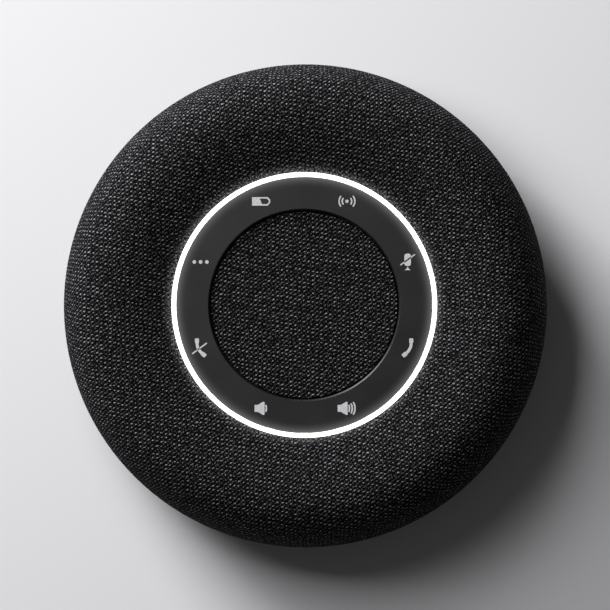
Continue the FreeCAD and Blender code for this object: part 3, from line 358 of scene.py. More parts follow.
def dashes(tree, counted, shift, lean, settings):
    """How high each point stands on the dashes of one set, and a chance number for each dash.

    counted holds the numbers of the two threads that cross at a point, and shift moves the set by
    a share of a pitch.
    """
    stray = 0.08
    shifted = [calculate(tree, "ADD", count, shift) for count in counted]
    cells = [calculate(tree, "ROUND", count) for count in shifted]
    cell = add(tree, "CombineXYZ", {"X": cells[0], "Y": cells[1], "Z": shift}).outputs[0]
    chance = add(tree, "TexWhiteNoise", {"Vector": cell}).outputs
    nudge = add(tree, "SeparateXYZ", {0: chance["Color"]}).outputs
    # how far a point lies from its dash's middle, in pitches
    away = []
    for count, middle, nudged in zip(shifted, cells, (nudge["X"], nudge["Y"])):
        home = calculate(tree, "ADD", middle, spread(tree, nudged, -stray, stray))
        away.append(calculate(tree, "SUBTRACT", count, home))
    upright = calculate(tree, "MULTIPLY_ADD", away[0], -settings.skew, away[1])
    spot = add(tree, "CombineXYZ", {"X": away[0], "Y": upright}).outputs[0]
    turned = add(tree, "VectorRotate", {"Vector": spot, "Angle": -lean},
                 rotation_type="Z_AXIS").outputs[0]
    scaled = add(tree, "VectorMath", {
        0: turned, 1: (1 / settings.dash_length, 1 / settings.dash_width, 0)},
        operation="MULTIPLY").outputs[0]
    square = add(tree, "VectorMath", {0: scaled, 1: scaled}, operation="DOT_PRODUCT")
    return (calculate(tree, "SUBTRACT", 1.0, square.outputs["Value"], clamp=True),
            chance["Value"])


def painted_spill_glow(tree, fibre, settings):
    """How bright the painted glow from the ring is among the threads, drawn as emission.  It fades
    with the cube of the way.
    """
    reach = from_axis(tree)
    fall = spread(tree, reach, settings.leak ** (1 / 3), 0.0, settings.mouth_radius,
                  settings.mouth_radius + settings.painted_spill_width)
    among = spread(tree, fibre, 0.0, 1.0, 0.35, 0.65)
    leak = calculate(tree, "MULTIPLY", calculate(tree, "POWER", fall, 3.0), among)
    # the painted glow stays off the middle disc, which is walled off from the ring
    covered = calculate(tree, "GREATER_THAN", reach, settings.mouth_radius - MM)
    return calculate(tree, "MULTIPLY", leak, covered)


def woven_cloth():
    """Plain-woven polyester, black with grey melange yarn.

    The weft shows as short slanting dashes in staggered rows, flecked with light fibres.  The
    warp stands lower between them, and the gaps hold painted shade, nearly black.  Beside the ring
    the threads carry a painted glow, emission that stands in for the ring's light.
    """
    settings = bpy.context.scene.speakerphone.cloth
    material, tree = new_material("woven_polyester_melange")
    place = add(tree, "UVMap", uv_map="cloth").outputs[0]
    # the threads wander by at most 0.2 mm, over a few millimetres
    wander = add(tree, "TexNoise", {"Vector": place, "Scale": 0.45, "Detail": 2.0},
                 noise_dimensions="2D").outputs["Color"]
    centred = add(tree, "VectorMath", {0: wander, 1: (0.5, 0.5, 0.5)}, operation="SUBTRACT")
    moved = add(tree, "VectorMath", {0: centred.outputs[0], 1: (0.4, 0.4, 0), 2: place},
                operation="MULTIPLY_ADD").outputs[0]
    split = add(tree, "SeparateXYZ", {0: moved}).outputs
    slant = calculate(tree, "MULTIPLY_ADD", split["X"], settings.skew, split["Y"])
    counted = [calculate(tree, "DIVIDE", way, settings.pitch / MM) for way in (split["X"], slant)]
    weft, chance = dashes(tree, counted, 0, settings.dash_turn, settings)
    warp, _ = dashes(tree, counted, 0.5, settings.dash_turn - UPRIGHT, settings)
    crown = calculate(tree, "MAXIMUM", weft, calculate(tree, "MULTIPLY", warp, settings.between))
    # light fibres in a dark thread, drawn about ten times as coarse as real ones so that they show
    fibre = add(tree, "TexNoise", {"Vector": place, "Scale": 1.9, "Detail": 1.0,
                                   "Roughness": 0.6}, noise_dimensions="2D").outputs[0]
    light = calculate(tree, "POWER", spread(tree, fibre, 0.0, 1.0, 0.38, 0.62), 1.4)
    light = calculate(tree, "MULTIPLY", light, spread(tree, chance, 0.55, 1.45), clamp=True)
    yarn = mixed(tree, light, settings.dark_yarn, settings.light_yarn)
    # the crowns take the yarn's colour and the low places take the gap colour, as painted shade
    # between the threads
    lit = add(tree, "MapRange", {0: crown, 2: 0.8}, interpolation_type="SMOOTHSTEP").outputs[0]
    height = calculate(tree, "MULTIPLY_ADD", fibre, 0.5, calculate(tree, "POWER", crown, 0.6))
    surface(tree, {"Base Color": mixed(tree, lit, settings.gap, yarn),
                   "Normal": relief(tree, height, 1.0, settings.crown / MM), "Roughness": 0.9,
                   # painted glow: this emission is not a lamp, it stands in for the ring's light
                   # on the threads
                   "Specular IOR Level": 0.04, "Emission Color": (1, 1, 1, 1),
                   "Emission Strength": painted_spill_glow(tree, fibre, settings)})
    return material


def satin_abs():
    """ABS under a satin hard coat: an even soft gloss, and a painted glow from the light ring on
    its outer rim.
    """
    settings = bpy.context.scene.speakerphone.ring
    material, tree = new_material("satin_coated_abs")
    place = where(tree)
    outer = settings.guide_inner
    # painted glow: emission that rises with the cube of the way towards the light ring, where the
    # ring's light would spill onto the plate
    rim = spread(tree, from_axis(tree), 0.0, 1.0, outer - settings.painted_glow_width, outer)
    glow = calculate(tree, "MULTIPLY", calculate(tree, "POWER", rim, 3.0), settings.glow)
    # the coat's grain, drawn about three times as coarse as the real one
    grain = noise(tree, place, 0.3)
    # faint smears from fingers, 10 to 20 mm long
    smear = noise(tree, place, 12, 3.0)
    surface(tree, {"Base Color": settings.panel, "Normal": relief(tree, grain, 0.3, 0.02),
                   "Roughness": spread(tree, smear, 0.34, 0.50), "IOR": 1.46,
                   "Emission Color": (1, 1, 1, 1), "Emission Strength": glow})
    return material


def lit_acrylic():
    """Milky acrylic lit from below: an even white."""
    settings = bpy.context.scene.speakerphone.ring
    material, tree = new_material("milky_acrylic_lit")
    haze = noise(tree, where(tree), 2)
    surface(tree, {"Base Color": linear("#e8e8e8"), "Roughness": spread(tree, haze, 0.3, 0.45),
                   "Emission Color": (1, 1, 1, 1), "Emission Strength": settings.light})
    return material


def printed_ink():
    """Pad-printed ink: matt, with thin places where the coat under it shows."""
    settings = bpy.context.scene.speakerphone.ring
    material, tree = new_material("pad_printed_ink")
    thin = spread(tree, noise(tree, where(tree), 0.35, 1.0), 0.0, 0.2, 0.35, 0.8)
    surface(tree, {"Base Color": mixed(tree, thin, settings.ink, settings.panel),
                   "Roughness": 0.6})
    return material


def moulded(name, code, roughness, grain=0.35, depth=0.01, ior=1.5):
    """Moulded plastic or rubber, whose tool left a fine grain of that width and depth in mm."""
    material, tree = new_material(name)
    place = where(tree)
    pits = noise(tree, place, grain, Roughness=0.6)
    # handling polishes patches about 15 mm wide
    wear = noise(tree, place, 15, 3.0)
    dark, light = ([part * share for part in linear(code)] for share in (0.85, 1.15))
    surface(tree, {"Base Color": mixed(tree, pits, dark, light),
                   "Normal": relief(tree, pits, 0.6, depth),
                   "Roughness": spread(tree, wear, roughness - 0.07, roughness + 0.07),
                   "IOR": ior})
    return material


def metal(name, code, roughness, grain=0.2):
    """Plated, drawn or pressed metal with an uneven polish of that width in mm."""
    material, tree = new_material(name)
    polish = noise(tree, where(tree), grain, 3.0)
    surface(tree, {"Base Color": linear(code), "Metallic": 1.0,
                   "Roughness": spread(tree, polish, roughness - 0.08, roughness + 0.08)})
    return material


def two_tone(name, pattern, dark, light, strength, depth, roughness, metallic=0.0):
    """A material whose pattern mixes two colours and stands out by a depth in millimetres."""
    material, tree = new_material(name)
    shape = pattern(tree, where(tree))
    surface(tree, {"Base Color": mixed(tree, shape, linear(dark), linear(light)),
                   "Normal": relief(tree, shape, strength, depth), "Roughness": roughness,
                   "Metallic": metallic})
    return material


def board_tracks(tree, place):
    """Straight etched tracks under the solder mask."""
    return add(tree, "TexBrick", {"Vector": place, "Scale": 1 / MM, "Mortar Size": 0.06,
                                  "Brick Width": 3.1, "Row Height": 0.55,
                                  "Color1": (1, 1, 1, 1), "Color2": (0.4, 0.4, 0.4, 1),
                                  "Mortar": (0, 0, 0, 1)}).outputs[0]


def coil_windings(tree, place):
    """Turns of enamelled wire, one above the other."""
    return add(tree, "TexWave", {"Vector": place, "Scale": 1 / (WIRE * MM) / math.tau * 2},
               bands_direction="Z").outputs[1]


def paper_pulp(tree, place):
    """Short paper fibres that lie all ways."""
    return noise(tree, place, 0.6, 5.0, Roughness=0.75, Distortion=2.0)


def foam_cells(tree, place):
    """Small round cells of foam, 0.7 mm wide."""
    return add(tree, "TexVoronoi", {"Vector": place, "Scale": 1 / (0.7 * MM)}).outputs[0]


def cotton_net(tree, place):
    """Threads 0.5 mm apart, stiffened with resin."""
    return add(tree, "TexBrick", {"Vector": place, "Scale": 1 / MM, "Mortar Size": 0.12,
                                  "Brick Width": 0.5, "Row Height": 0.5,
                                  "Color1": (0, 0, 0, 1), "Color2": (0.1, 0.1, 0.1, 1),
                                  "Mortar": (1, 1, 1, 1)}, offset=0).outputs[0]


# the voice coil's wire with its enamel, in millimetres
WIRE = 0.16

FINISHES = {
    "cover_cloth": (woven_cloth,),
    "panel_plastic": (satin_abs,),
    "light_diffuser": (lit_acrylic,),
    "printed_ink": (printed_ink,),
    "circuit_board": (two_tone, "solder_masked_laminate", board_tracks, "#08140e", "#12251a",
                      0.5, 0.03, 0.35),
    "copper_wire": (two_tone, "enamelled_copper_winding", coil_windings, "#5c2a14",
                    "#b4623a", 1.0, WIRE / 2, 0.3, 1.0),
    "cone_paper": (two_tone, "pressed_pulp_paper", paper_pulp, "#0c0c0c", "#2c2c2b",
                   0.7, 0.08, 0.85),
    "black_foam": (two_tone, "open_cell_foam", foam_cells, "#0a0a0a", "#303030",
                   1.0, 0.3, 0.95),
    "spider_cloth": (two_tone, "resin_cotton_net", cotton_net, "#7a4a22", "#c89058",
                     0.8, 0.1, 0.7),
    # visible mouldings: a spark-eroded tool leaves an even matt grain
    "housing_plastic": (moulded, "spark_eroded_abs", "#1f1f21", 0.55, 0.4, 0.02),
    "foot_rubber": (moulded, "moulded_silicone_rubber", "#1a1a1b", 0.75, 0.6, 0.015, 1.41),
    "button_plastic": (moulded, "satin_moulded_abs", "#2a2a2c", 0.42, 0.3, 0.008),
    # mouldings inside the body: plain tool finish, a little glossier
    "grille_plastic": (moulded, "moulded_abs_grille", "#161617", 0.6),
    "white_plastic": (moulded, "moulded_white_polycarbonate", "#e4e4e2", 0.4, 0.5, 0.01, 1.58),
    "inner_plastic": (moulded, "moulded_abs_inner", "#2b2b2d", 0.5),
    "radiator_plastic": (moulded, "moulded_polypropylene", "#1b1b1c", 0.45, 0.4, 0.01, 1.49),
    "plug_plastic": (moulded, "moulded_ivory_nylon", "#d8d2bd", 0.5, 0.3, 0.01, 1.53),
    "flex_film": (moulded, "polyimide_film", "#a8641c", 0.25, 0.8, 0.004, 1.7),
    "led_resin": (moulded, "phosphor_silicone", "#e8d46a", 0.35, 0.15, 0.01, 1.41),
    "black_rubber": (moulded, "moulded_butyl_rubber", "#141414", 0.7, 0.5, 0.01, 1.53),
    "battery_foil": (moulded, "wrapped_pouch_film", "#3c5a78", 0.35, 2.5, 0.05, 1.5),
    "wire_jacket": (moulded, "extruded_pvc", "#8c1c18", 0.45, 0.5, 0.005, 1.53),
    "chip_resin": (moulded, "moulded_epoxy", "#17181a", 0.6, 0.12, 0.01, 1.55),
    # metals: their colour is their reflection, broken up by the way they were worked
    "screw_steel": (metal, "black_zinc_plated_steel", "#4a4a4d", 0.35, 0.15),
    "shield_metal": (metal, "tin_plated_steel", "#b4b6b4", 0.32, 0.5),
    "basket_steel": (metal, "pressed_blackened_steel", "#3a3a3c", 0.45, 0.4),
    "magnet_nickel": (metal, "nickel_plated_magnet", "#b0a898", 0.22, 0.4),
    "weight_steel": (metal, "blanked_zinc_plated_steel", "#8e9194", 0.38, 0.4),
    "socket_steel": (metal, "drawn_stainless_steel", "#a9a9a8", 0.28, 0.3),
}
MADE = {}


def finish(slot):
    """The material of one of the record's slots, or of the printed ink, made once."""
    if slot not in MADE:
        maker, *values = FINISHES[slot]
        MADE[slot] = maker(*values)
    return MADE[slot]


# ---------------------------------------------------------------- cover and middle disc


def cover_skin(settings, depth):
    """One side of the cover as (r, z) points from the mouth to the hem, moved in by a depth."""
    low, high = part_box("outer_fabric_cover")
    tilt = UPRIGHT + settings.brow_slope
    brow = (settings.crest_radius, high.z - settings.brow_radius)
    shoulder = (settings.crest_radius, high.z - settings.shoulder_radius)
    turn = settings.shoulder_angle
    wide = (high.x - settings.crest_radius - settings.shoulder_radius * math.cos(turn)) / (
        1 - math.cos(turn))
    side = (high.x - wide, shoulder[1] - (wide - settings.shoulder_radius) * math.sin(turn))
    brow_end = (brow[0] + settings.brow_radius * math.cos(tilt),
                brow[1] + settings.brow_radius * math.sin(tilt))
    rise = math.tan(settings.brow_slope)
    fold = settings.fold
    mouth = (settings.mouth_radius + fold,
             brow_end[1] - (brow_end[0] - settings.mouth_radius - fold) * rise
             - fold / math.cos(settings.brow_slope))
    last = math.asin((low.z + fold - side[1]) / (wide - fold))
    hem = (side[0] + (wide - fold) * math.cos(last), low.z + fold)
    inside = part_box("center_fabric_disc")[0].z
    return [
        (settings.mouth_radius + depth, inside),
        *arc(mouth, fold - depth, math.pi, tilt, FOLD_STEPS),
        *arc(brow, settings.brow_radius - depth, tilt, UPRIGHT, BROW_STEPS),
        *arc(shoulder, settings.shoulder_radius - depth, UPRIGHT, turn, SHOULDER_STEPS)[1:],
        *arc(side, wide - depth, turn, last, SIDE_STEPS)[1:],
        *arc(hem, fold - depth, last, -UPRIGHT, FOLD_STEPS)[1:],
        (hem[0] - settings.turn_in, low.z + depth),
    ]


def lay_along(line, give):
    """How far each point of the cover's line lies from the middle of the flat cloth."""
    far = [line[0][0]]
    for (r0, z0), (r1, z1) in zip(line, line[1:]):
        far.append(far[-1] + max(abs(r1 - r0), give * math.hypot(r1 - r0, z1 - z0)))
    return far


def map_cloth(bm, stretch):
    """Write the cloth's own map in millimetres.

    stretch tells how far a vertex lies from the middle of the flat cloth, over its own radius.
    """
    layer = bm.loops.layers.uv.new("cloth")
    scale = {vert: stretch(vert.co) / MM for vert in bm.verts}
    for face in bm.faces:
        for loop in face.loops:
            co = loop.vert.co
            loop[layer].uv = (co.x * scale[loop.vert], co.y * scale[loop.vert])


class SPEAKERPHONE_OT_cover(bpy.types.Operator):
    """Build the woven cover over the body"""
    bl_idname = "speakerphone.cover"
    bl_label = "Cloth cover"

    def execute(self, context):
        settings = context.scene.speakerphone.cloth
        outside = cover_skin(settings, 0)
        inside = cover_skin(settings, settings.thickness)
        far = lay_along(outside, settings.give)
        bm = bmesh.new()
        spin_outline(bm, outside + inside[::-1], settings.steps)
        known = [(r, z, reach / r) for line in (outside, inside)
                 for (r, z), reach in zip(line, far)]
        found = {}

        def stretch(co):
            r = math.hypot(co.x, co.y)
            ring = (round(r / MM, 2), round(co.z / MM, 2))
            if ring not in found:
                found[ring] = min(known, key=lambda point: (point[0] - r) ** 2
                                  + (point[1] - co.z) ** 2)[2]
            return found[ring]

        map_cloth(bm, stretch)
        piece = make_piece("cloth_cover", bm, "housing", "cover_cloth", ["outer_fabric_cover"])
        # a round blank with a round hole, pressed over the shell
        return {"FINISHED"}


class SPEAKERPHONE_OT_disc(bpy.types.Operator):
    """Build the woven disc in the middle of the touch ring"""
    bl_idname = "speakerphone.disc"
    bl_label = "Cloth disc"

    def execute(self, context):
        settings = context.scene.speakerphone.cloth
        low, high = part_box("center_fabric_disc")
        edge = settings.thickness / 2
        rim = arc((high.x - edge, high.z - edge), edge, 0, UPRIGHT, FOLD_STEPS)
        reach = high.x - edge
        shares = [step / DOME_STEPS for step in range(DOME_STEPS - 1, -1, -1)]
        dome = [(reach * share, high.z + settings.disc_dome * math.cos(share * UPRIGHT))
                for share in shares]
        bm = bmesh.new()
        spin_outline(bm, [(0, low.z), (high.x, low.z), *rim, *dome], settings.steps // 2, False)
        map_cloth(bm, lambda co: 1)
        piece = make_piece("cloth_disc", bm, "housing", "cover_cloth", ["center_fabric_disc"])
        # a round blank, glued to the plate under it
        return {"FINISHED"}


# ---------------------------------------------------------------- touch ring and light ring


class SPEAKERPHONE_OT_ring(bpy.types.Operator):
    """Build the satin touch ring"""
    bl_idname = "speakerphone.ring"
    bl_label = "Touch ring"

    def execute(self, context):
        settings = context.scene.speakerphone.ring
        low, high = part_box("control_panel")
        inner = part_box("center_fabric_disc")[1].x + settings.disc_gap
        edge, chamfer, plate = settings.edge, settings.chamfer, high.z - settings.plate
        outline = rounded([
            (inner, low.z, edge), (inner + settings.skirt, low.z, edge),
            (inner + settings.skirt, plate, edge), (high.x, plate, edge),
            (high.x, high.z, edge), (inner + chamfer, high.z, edge),
            (inner, high.z - chamfer, edge)])
        bm = bmesh.new()
        spin_outline(bm, outline, RING_STEPS)
        make_piece("touch_ring", bm, "housing", "panel_plastic", ["control_panel"])
        return {"FINISHED"}


class SPEAKERPHONE_OT_light(bpy.types.Operator):
    """Build the light ring"""
    bl_idname = "speakerphone.light"
    bl_label = "Light ring"

    def execute(self, context):
        settings = context.scene.speakerphone.ring
        low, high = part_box("light_guide")
        edge = settings.edge
        step = low.z + settings.flange
        outline = rounded([
            (settings.guide_inner, low.z, edge), (high.x, low.z, edge), (high.x, step, edge),
            (settings.guide_outer, step, edge), (settings.guide_outer, high.z, edge * 2),
            (settings.guide_inner, high.z, edge * 2)])
        bm = bmesh.new()
        spin_outline(bm, outline, RING_STEPS)
        make_piece("light_ring", bm, "housing", "light_diffuser", ["light_guide"])
        return {"FINISHED"}


# ---------------------------------------------------------------- printed marks


def patch(bm, points, rounding=0.12):
    """Print a flat patch through points in millimetres, with rounded corners."""
    face = bm.faces.new([bm.verts.new((x * MM, y * MM, 0)) for x, y in points])
    bmesh.ops.bevel(bm, geom=face.verts[:], offset=rounding * MM, offset_type="OFFSET",
                    segments=3, profile=0.5, affect="VERTICES", material=-1)


def stroke(bm, start, stop, width):
    """Print a straight stroke with rounded ends."""
    along = Vector((stop[0] - start[0], stop[1] - start[1])).normalized()
    across = Vector((-along.y, along.x)) * width / 2
    ends = [Vector(start), Vector(stop)]
    patch(bm, [ends[0] + across, ends[0] - across, ends[1] - across, ends[1] + across],
          width * 0.4)


def bow(bm, centre, radius, middle, half, width, grips=()):
    """Print an arc about a middle direction, in degrees.  grips = (width, length) of its ends."""
    start = math.radians(middle - half)
    hub = Vector((centre[0], centre[1], 0)) * MM
    way = Vector((math.cos(start), math.sin(start), 0))
    verts = [bm.verts.new(hub + way * (radius + side * width / 2) * MM) for side in (-1, 1)]
    edge = bm.edges.new(verts)
    spun = bmesh.ops.spin(bm, geom=[*verts, edge], axis=UP, cent=hub,
                          angle=math.radians(half * 2), steps=8)
    last = only(spun["geom_last"], bmesh.types.BMEdge)[0]
    tips = verts + list(last.verts)
    if grips:
        flare = 0.25
        tips = []
        for tip, sign in ((edge, -1), (last, 1)):
            turn = math.radians(middle + sign * half)
            ahead = Vector((-math.sin(turn), math.cos(turn), 0)) * sign
            for step, grow in ((flare, grips[0] / width), (grips[1], 1)):
                made = bmesh.ops.extrude_edge_only(bm, edges=[tip])["geom"]
                ends = only(made, bmesh.types.BMVert)
                between = (ends[0].co + ends[1].co) / 2
                for vert in ends:
                    vert.co = between + (vert.co - between) * grow + ahead * step * MM
                tip = bm.edges.get(ends)
            tips += ends
    bmesh.ops.bevel(bm, geom=tips, offset=width * 0.3 * MM, offset_type="OFFSET", segments=3,
                    profile=0.5, affect="VERTICES", material=-1)


def dot(bm, centre, radius):
    """Print a round dot."""
    bmesh.ops.create_circle(bm, cap_ends=True, radius=radius * MM, segments=24,
                            matrix=Matrix.Translation(Vector((*centre, 0)) * MM))


def raise_ink(bm):
    """Give what was printed flat the thickness of the ink."""
    bmesh.ops.recalc_face_normals(bm, faces=bm.faces)
    printed = bmesh.ops.extrude_face_region(bm, geom=bm.faces[:])["geom"]
    height = bpy.context.scene.speakerphone.ring.ink_height
    bmesh.ops.translate(bm, verts=only(printed, bmesh.types.BMVert), vec=UP * height)


def slash(bm, centre):
    """Print the rising stroke that means off."""
    stroke(bm, (centre[0] - 2, centre[1] - 1.48), (centre[0] + 2, centre[1] + 1.48), 0.35)


def muted_mark(bm):
    """A microphone struck out."""
    patch(bm, [(-0.88, -1.1), (0.88, -1.1), (0.88, 2.25), (-0.88, 2.25)], 0.62)
    patch(bm, [(-0.8, -2.25), (0.8, -2.25), (0.22, -1.75), (0.16, -1.35), (-0.16, -1.35),
               (-0.22, -1.75)], 0.06)
    slash(bm, (0, 0.57))


def wireless_mark(bm):
    """Waves to both sides of a dot."""
    dot(bm, (0, 0), 0.45)
    for middle in (0, 180):
        for radius in (1.3, 2.15):
            bow(bm, (0, 0), radius, middle, 42, 0.38)


def battery_mark(bm):
    """A battery half full."""
    half, corner, tip = 1.15, 1.75, 2.45
    outline = [(-2.5, -half), (corner, -half), (tip, -0.4), (tip, 0.4), (corner, half),
               (-2.5, half)]
    case = bm.faces.new([bm.verts.new((x * MM, y * MM, 0)) for x, y in outline])
    case.normal_update()
    bmesh.ops.inset_region(bm, faces=[case], thickness=0.4 * MM, use_boundary=True,
                           use_even_offset=True)
    bmesh.ops.delete(bm, geom=[case], context="FACES_ONLY")
    patch(bm, [(-2.1, -0.75), (0.2, -0.75), (-0.4, 0.75), (-2.1, 0.75)], 0.03)


def function_mark(bm):
    """Three dots for a function that the user picks."""
    for x in (-1.7, 0, 1.7):
        dot(bm, (x, 0), 0.5)


def handset(bm, side):
    """A telephone handset that bows to one side."""
    middle = -26 if side > 0 else 206
    bow(bm, (-2.54 * side, 1.26), 3.5, middle, 24, 0.8, grips=(1.12, 1.15))


def end_call_mark(bm):
    """A handset struck out."""
    handset(bm, -1)
    slash(bm, (-0.3, -0.2))


def answer_mark(bm):
    """A handset."""
    handset(bm, 1)


def volume_mark(bm, waves):
    """A loudspeaker with as many waves."""
    shift = -1.17 if waves > 1 else -0.45
    patch(bm, [(shift + x, y) for x, y in ((-1.36, -0.95), (-0.45, -0.95), (0.85, -1.75),
                                           (1.36, -1.75), (1.36, 1.75), (0.85, 1.75),
                                           (-0.45, 0.95), (-1.36, 0.95))])
    for number in range(waves):
        tall = 0.95 + 0.38 * number
        radius = 2.3 + 0.45 * number
        front = shift + 1.85 + 0.75 * number
        bow(bm, (front - radius, 0), radius, 0, math.degrees(math.asin(tall / radius)), 0.42)


def volume_down_mark(bm):
    """A loudspeaker with one wave."""
    volume_mark(bm, 1)


def volume_up_mark(bm):
    """A loudspeaker with three waves."""
    volume_mark(bm, 3)


# the marks as they stand round the ring, from the right hand round by the far side
MARKS = (muted_mark, wireless_mark, battery_mark, function_mark, end_call_mark, volume_down_mark,
         volume_up_mark, answer_mark)


class SPEAKERPHONE_OT_marks(bpy.types.Operator):
    """Print the marks on the touch ring"""
    bl_idname = "speakerphone.marks"
    bl_label = "Printed marks"

    def execute(self, context):
        settings = context.scene.speakerphone.ring
        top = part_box("control_panel")[1].z
        for number, draw in enumerate(MARKS):
            turn = math.tau * (number + 0.5) / len(MARKS)
            bm = bmesh.new()
            draw(bm)
            raise_ink(bm)
            home = Vector((math.cos(turn), math.sin(turn), 0)) * settings.mark_circle
            bmesh.ops.translate(bm, verts=bm.verts, vec=home + UP * top)
            make_piece(draw.__name__, bm, "housing", "panel_plastic", looks="printed_ink")
        return {"FINISHED"}


# ---------------------------------------------------------------- foot and button


class SPEAKERPHONE_OT_foot(bpy.types.Operator):
    """Build the rubber foot with its ribs"""
    bl_idname = "speakerphone.foot"
    bl_label = "Rubber foot"

    def execute(self, context):
        settings = context.scene.speakerphone.housing
        low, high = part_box("rubber_foot")
        outer, inner = high.x, high.x - settings.foot_width
        edge, rib, corner = settings.foot_edge, settings.foot_rib, settings.rib_edge
        # a groove's half widths, at its mouth and at its bottom
        mouth, bottom = rib * 0.24, rib * 0.112
        deep = low.z + settings.rib_depth
        corners = [(inner, high.z, 0), (inner, low.z, edge)]
        grooves = int((outer - inner - 2 * edge) / rib)
        first = (outer + inner - rib * (grooves - 1)) / 2
        for number in range(grooves):
            middle = first + rib * number
            corners += [(middle - mouth, low.z, corner), (middle - bottom, deep, corner),
                        (middle + bottom, deep, corner), (middle + mouth, low.z, corner)]
        corners += [(outer, low.z, edge), (outer, high.z, 0)]
        bm = bmesh.new()
        spin_outline(bm, rounded(corners, 3), FOOT_STEPS)
        make_piece("foot_ring", bm, "housing", "foot_rubber", ["rubber_foot"])
        return {"FINISHED"}


def pill(bm, place, run, half, length):
    """A bar of pill outline that runs outwards along X from a place.  Gives its front face."""
    outline = [point for side in (1, -1)
               for point in arc((run * side, 0), half, -UPRIGHT * side, UPRIGHT * (2 - side),
                                PILL_STEPS)]
    back = bm.faces.new([bm.verts.new((place, y, z)) for y, z in outline])
    grown = bmesh.ops.extrude_face_region(bm, geom=[back], use_keep_orig=True)["geom"]
    front = only(grown, bmesh.types.BMFace)[0]
    bmesh.ops.translate(bm, verts=front.verts, vec=(length, 0, 0))
    return front


def place_on_side(bm, settings):
    """Turn what was built about +X to the button's azimuth, at the button's height."""
    bmesh.ops.translate(bm, verts=bm.verts, vec=UP * settings.button_height)
    bmesh.ops.rotate(bm, verts=bm.verts, cent=(0, 0, 0),
                     matrix=Matrix.Rotation(settings.button_azimuth, 3, "Z"))


class SPEAKERPHONE_OT_button(bpy.types.Operator):
    """Build the power button with its mark"""
    bl_idname = "speakerphone.button"
    bl_label = "Power button"

    def execute(self, context):
        settings = context.scene.speakerphone.housing
        wider = settings.button_margin
        bm = bmesh.new()
        pill(bm, settings.button_back, settings.button_run + wider,
             settings.button_half + wider / 2, settings.button_flange)
        reach = settings.button_face - settings.button_back - settings.button_flange
        front = pill(bm, settings.button_back + settings.button_flange, settings.button_run,
                     settings.button_half, reach)
        bmesh.ops.bevel(bm, geom=front.edges[:], offset=settings.button_edge, segments=4,
                        profile=0.5, affect="EDGES", material=-1)
        bm.normal_update()
        front = max(bm.faces, key=lambda face: face.calc_center_median().x)
        bmesh.ops.inset_region(bm, faces=[front], thickness=settings.button_rim,
                               use_even_offset=True, use_boundary=True,
                               depth=-settings.button_dish)
        place_on_side(bm, settings)
        make_piece("power_button_cap", bm, "power_button", "button_plastic", ["power_button"])
        mark = bmesh.new()
        bow(mark, (0, 0), 0.75, 270, 140, 0.24)
        stroke(mark, (0, 0.15), (0, 1.05), 0.24)
        raise_ink(mark)
        stood_up = Matrix(((0, 0, 1), (1, 0, 0), (0, 1, 0))).to_4x4()
        bmesh.ops.transform(mark, verts=mark.verts, matrix=Matrix.Translation(
            (settings.button_face - settings.button_dish, 0, 0)) @ stood_up)
        place_on_side(mark, settings)
        make_piece("power_mark", mark, "power_button", "button_plastic", looks="printed_ink")
        return {"FINISHED"}


class SPEAKERPHONE_OT_finishes(bpy.types.Operator):
    """Give every carried-over part its finish"""
    bl_idname = "speakerphone.finishes"
    bl_label = "Finishes"

    def execute(self, context):
        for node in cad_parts.values():
            for holder in node.material_slots:
                holder.material = finish(holder.material.name.split(".")[0])
        return {"FINISHED"}


# ---------------------------------------------------------------- stage


def look_at(thing, place, target):
    """Put a lamp or camera at a place, facing a target, with +Y at the top of its view."""
    back = (Vector(place) - target).normalized()
    right = Vector((0, 1, 0)).cross(back).normalized()
    thing.matrix_world = Matrix.Translation(place) @ Matrix(
        (right, back.cross(right), back)).transposed().to_4x4()


def softbox(name, power, place, target, width):
    """A square studio light."""
    lamp = bpy.data.lights.new(name, "AREA")
    lamp.energy = power
    lamp.size = width
    thing = bpy.data.objects.new(name, lamp)
    bpy.context.scene.collection.objects.link(thing)
    look_at(thing, place, target)


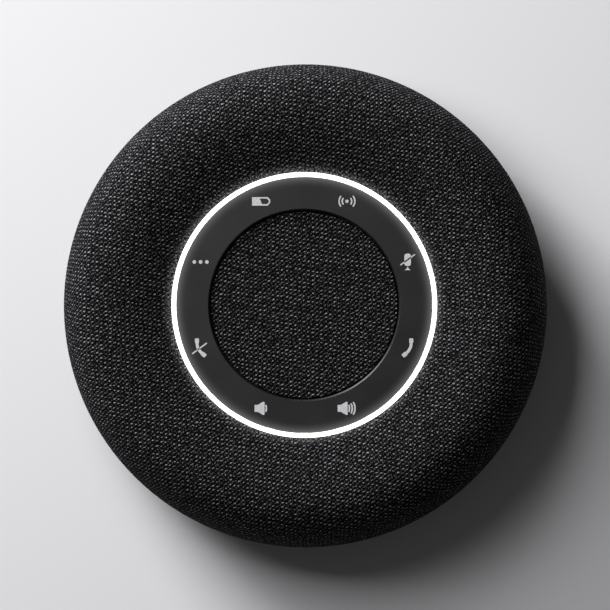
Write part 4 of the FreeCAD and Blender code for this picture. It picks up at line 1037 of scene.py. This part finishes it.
class SPEAKERPHONE_OT_stage(bpy.types.Operator):
    """Set the floor, the lights and the camera"""
    bl_idname = "speakerphone.stage"
    bl_label = "Stage"

    def execute(self, context):
        scene = context.scene
        settings = scene.speakerphone.stage
        scene.view_settings.view_transform = "Standard"
        material, tree = new_material("matt_painted_board")
        # the roller left a faint grain, 1.5 mm wide
        roller = noise(tree, where(tree), 1.5, 3.0)
        surface(tree, {"Base Color": settings.floor, "Roughness": 0.7,
                       "Normal": relief(tree, roller, 0.15, 0.1)})
        bm = bmesh.new()
        bmesh.ops.create_grid(bm, x_segments=1, y_segments=1, size=FLOOR_HALF,
                              matrix=Matrix.Translation((0, 0, CAD_BOX[0].z)))
        mesh = bpy.data.meshes.new("floor")
        bm.to_mesh(mesh)
        bm.free()
        mesh.materials.append(material)
        floor = bpy.data.objects.new("floor", mesh)
        scene.collection.objects.link(floor)
        centre = (CAD_BOX[0] + CAD_BOX[1]) / 2
        softbox("key", settings.key, KEY_PLACE, centre, KEY_WIDTH)
        softbox("fill", settings.fill, FILL_PLACE, centre, FILL_WIDTH)
        world = bpy.data.worlds.new("studio")
        world.use_nodes = True
        background = world.node_tree.nodes["Background"]
        background.inputs["Color"].default_value = (1, 1, 1, 1)
        background.inputs["Strength"].default_value = settings.sky
        scene.world = world
        camera = bpy.data.cameras.new("camera")
        high = settings.camera_height
        aim = centre + AIM_OFFSET
        place = aim + Vector((math.tan(settings.camera_right), -math.tan(settings.camera_near),
                              1)) * high
        camera.lens = camera.sensor_width * high / settings.picture_width
        camera.clip_end = high * 5
        thing = bpy.data.objects.new("camera", camera)
        scene.collection.objects.link(thing)
        look_at(thing, place, aim)
        scene.camera = thing
        return {"FINISHED"}


# ---------------------------------------------------------------- add-on


STEPS = (SPEAKERPHONE_OT_cover, SPEAKERPHONE_OT_disc, SPEAKERPHONE_OT_ring,
         SPEAKERPHONE_OT_light, SPEAKERPHONE_OT_marks, SPEAKERPHONE_OT_foot,
         SPEAKERPHONE_OT_button, SPEAKERPHONE_OT_finishes, SPEAKERPHONE_OT_stage)


class SPEAKERPHONE_PT_panel(bpy.types.Panel):
    """Lists the steps that build the speakerphone"""
    bl_label = "Speakerphone"
    bl_idname = "SPEAKERPHONE_PT_panel"
    bl_space_type = "VIEW_3D"
    bl_region_type = "UI"
    bl_category = "Speakerphone"

    def draw(self, context):
        for step in STEPS:
            self.layout.operator(step.bl_idname)


CLASSES = (ClothSettings, RingSettings, HousingSettings, StageSettings, Settings, *STEPS,
           SPEAKERPHONE_PT_panel)


def register():
    for item in CLASSES:
        bpy.utils.register_class(item)
    bpy.types.Scene.speakerphone = PointerProperty(type=Settings)


def unregister():
    del bpy.types.Scene.speakerphone
    for item in reversed(CLASSES):
        bpy.utils.unregister_class(item)


def main():
    """Register the add-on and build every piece."""
    register()
    for step in STEPS:
        group, name = step.bl_idname.split(".")
        getattr(getattr(bpy.ops, group), name)()


if __name__ == "__main__":
    main()
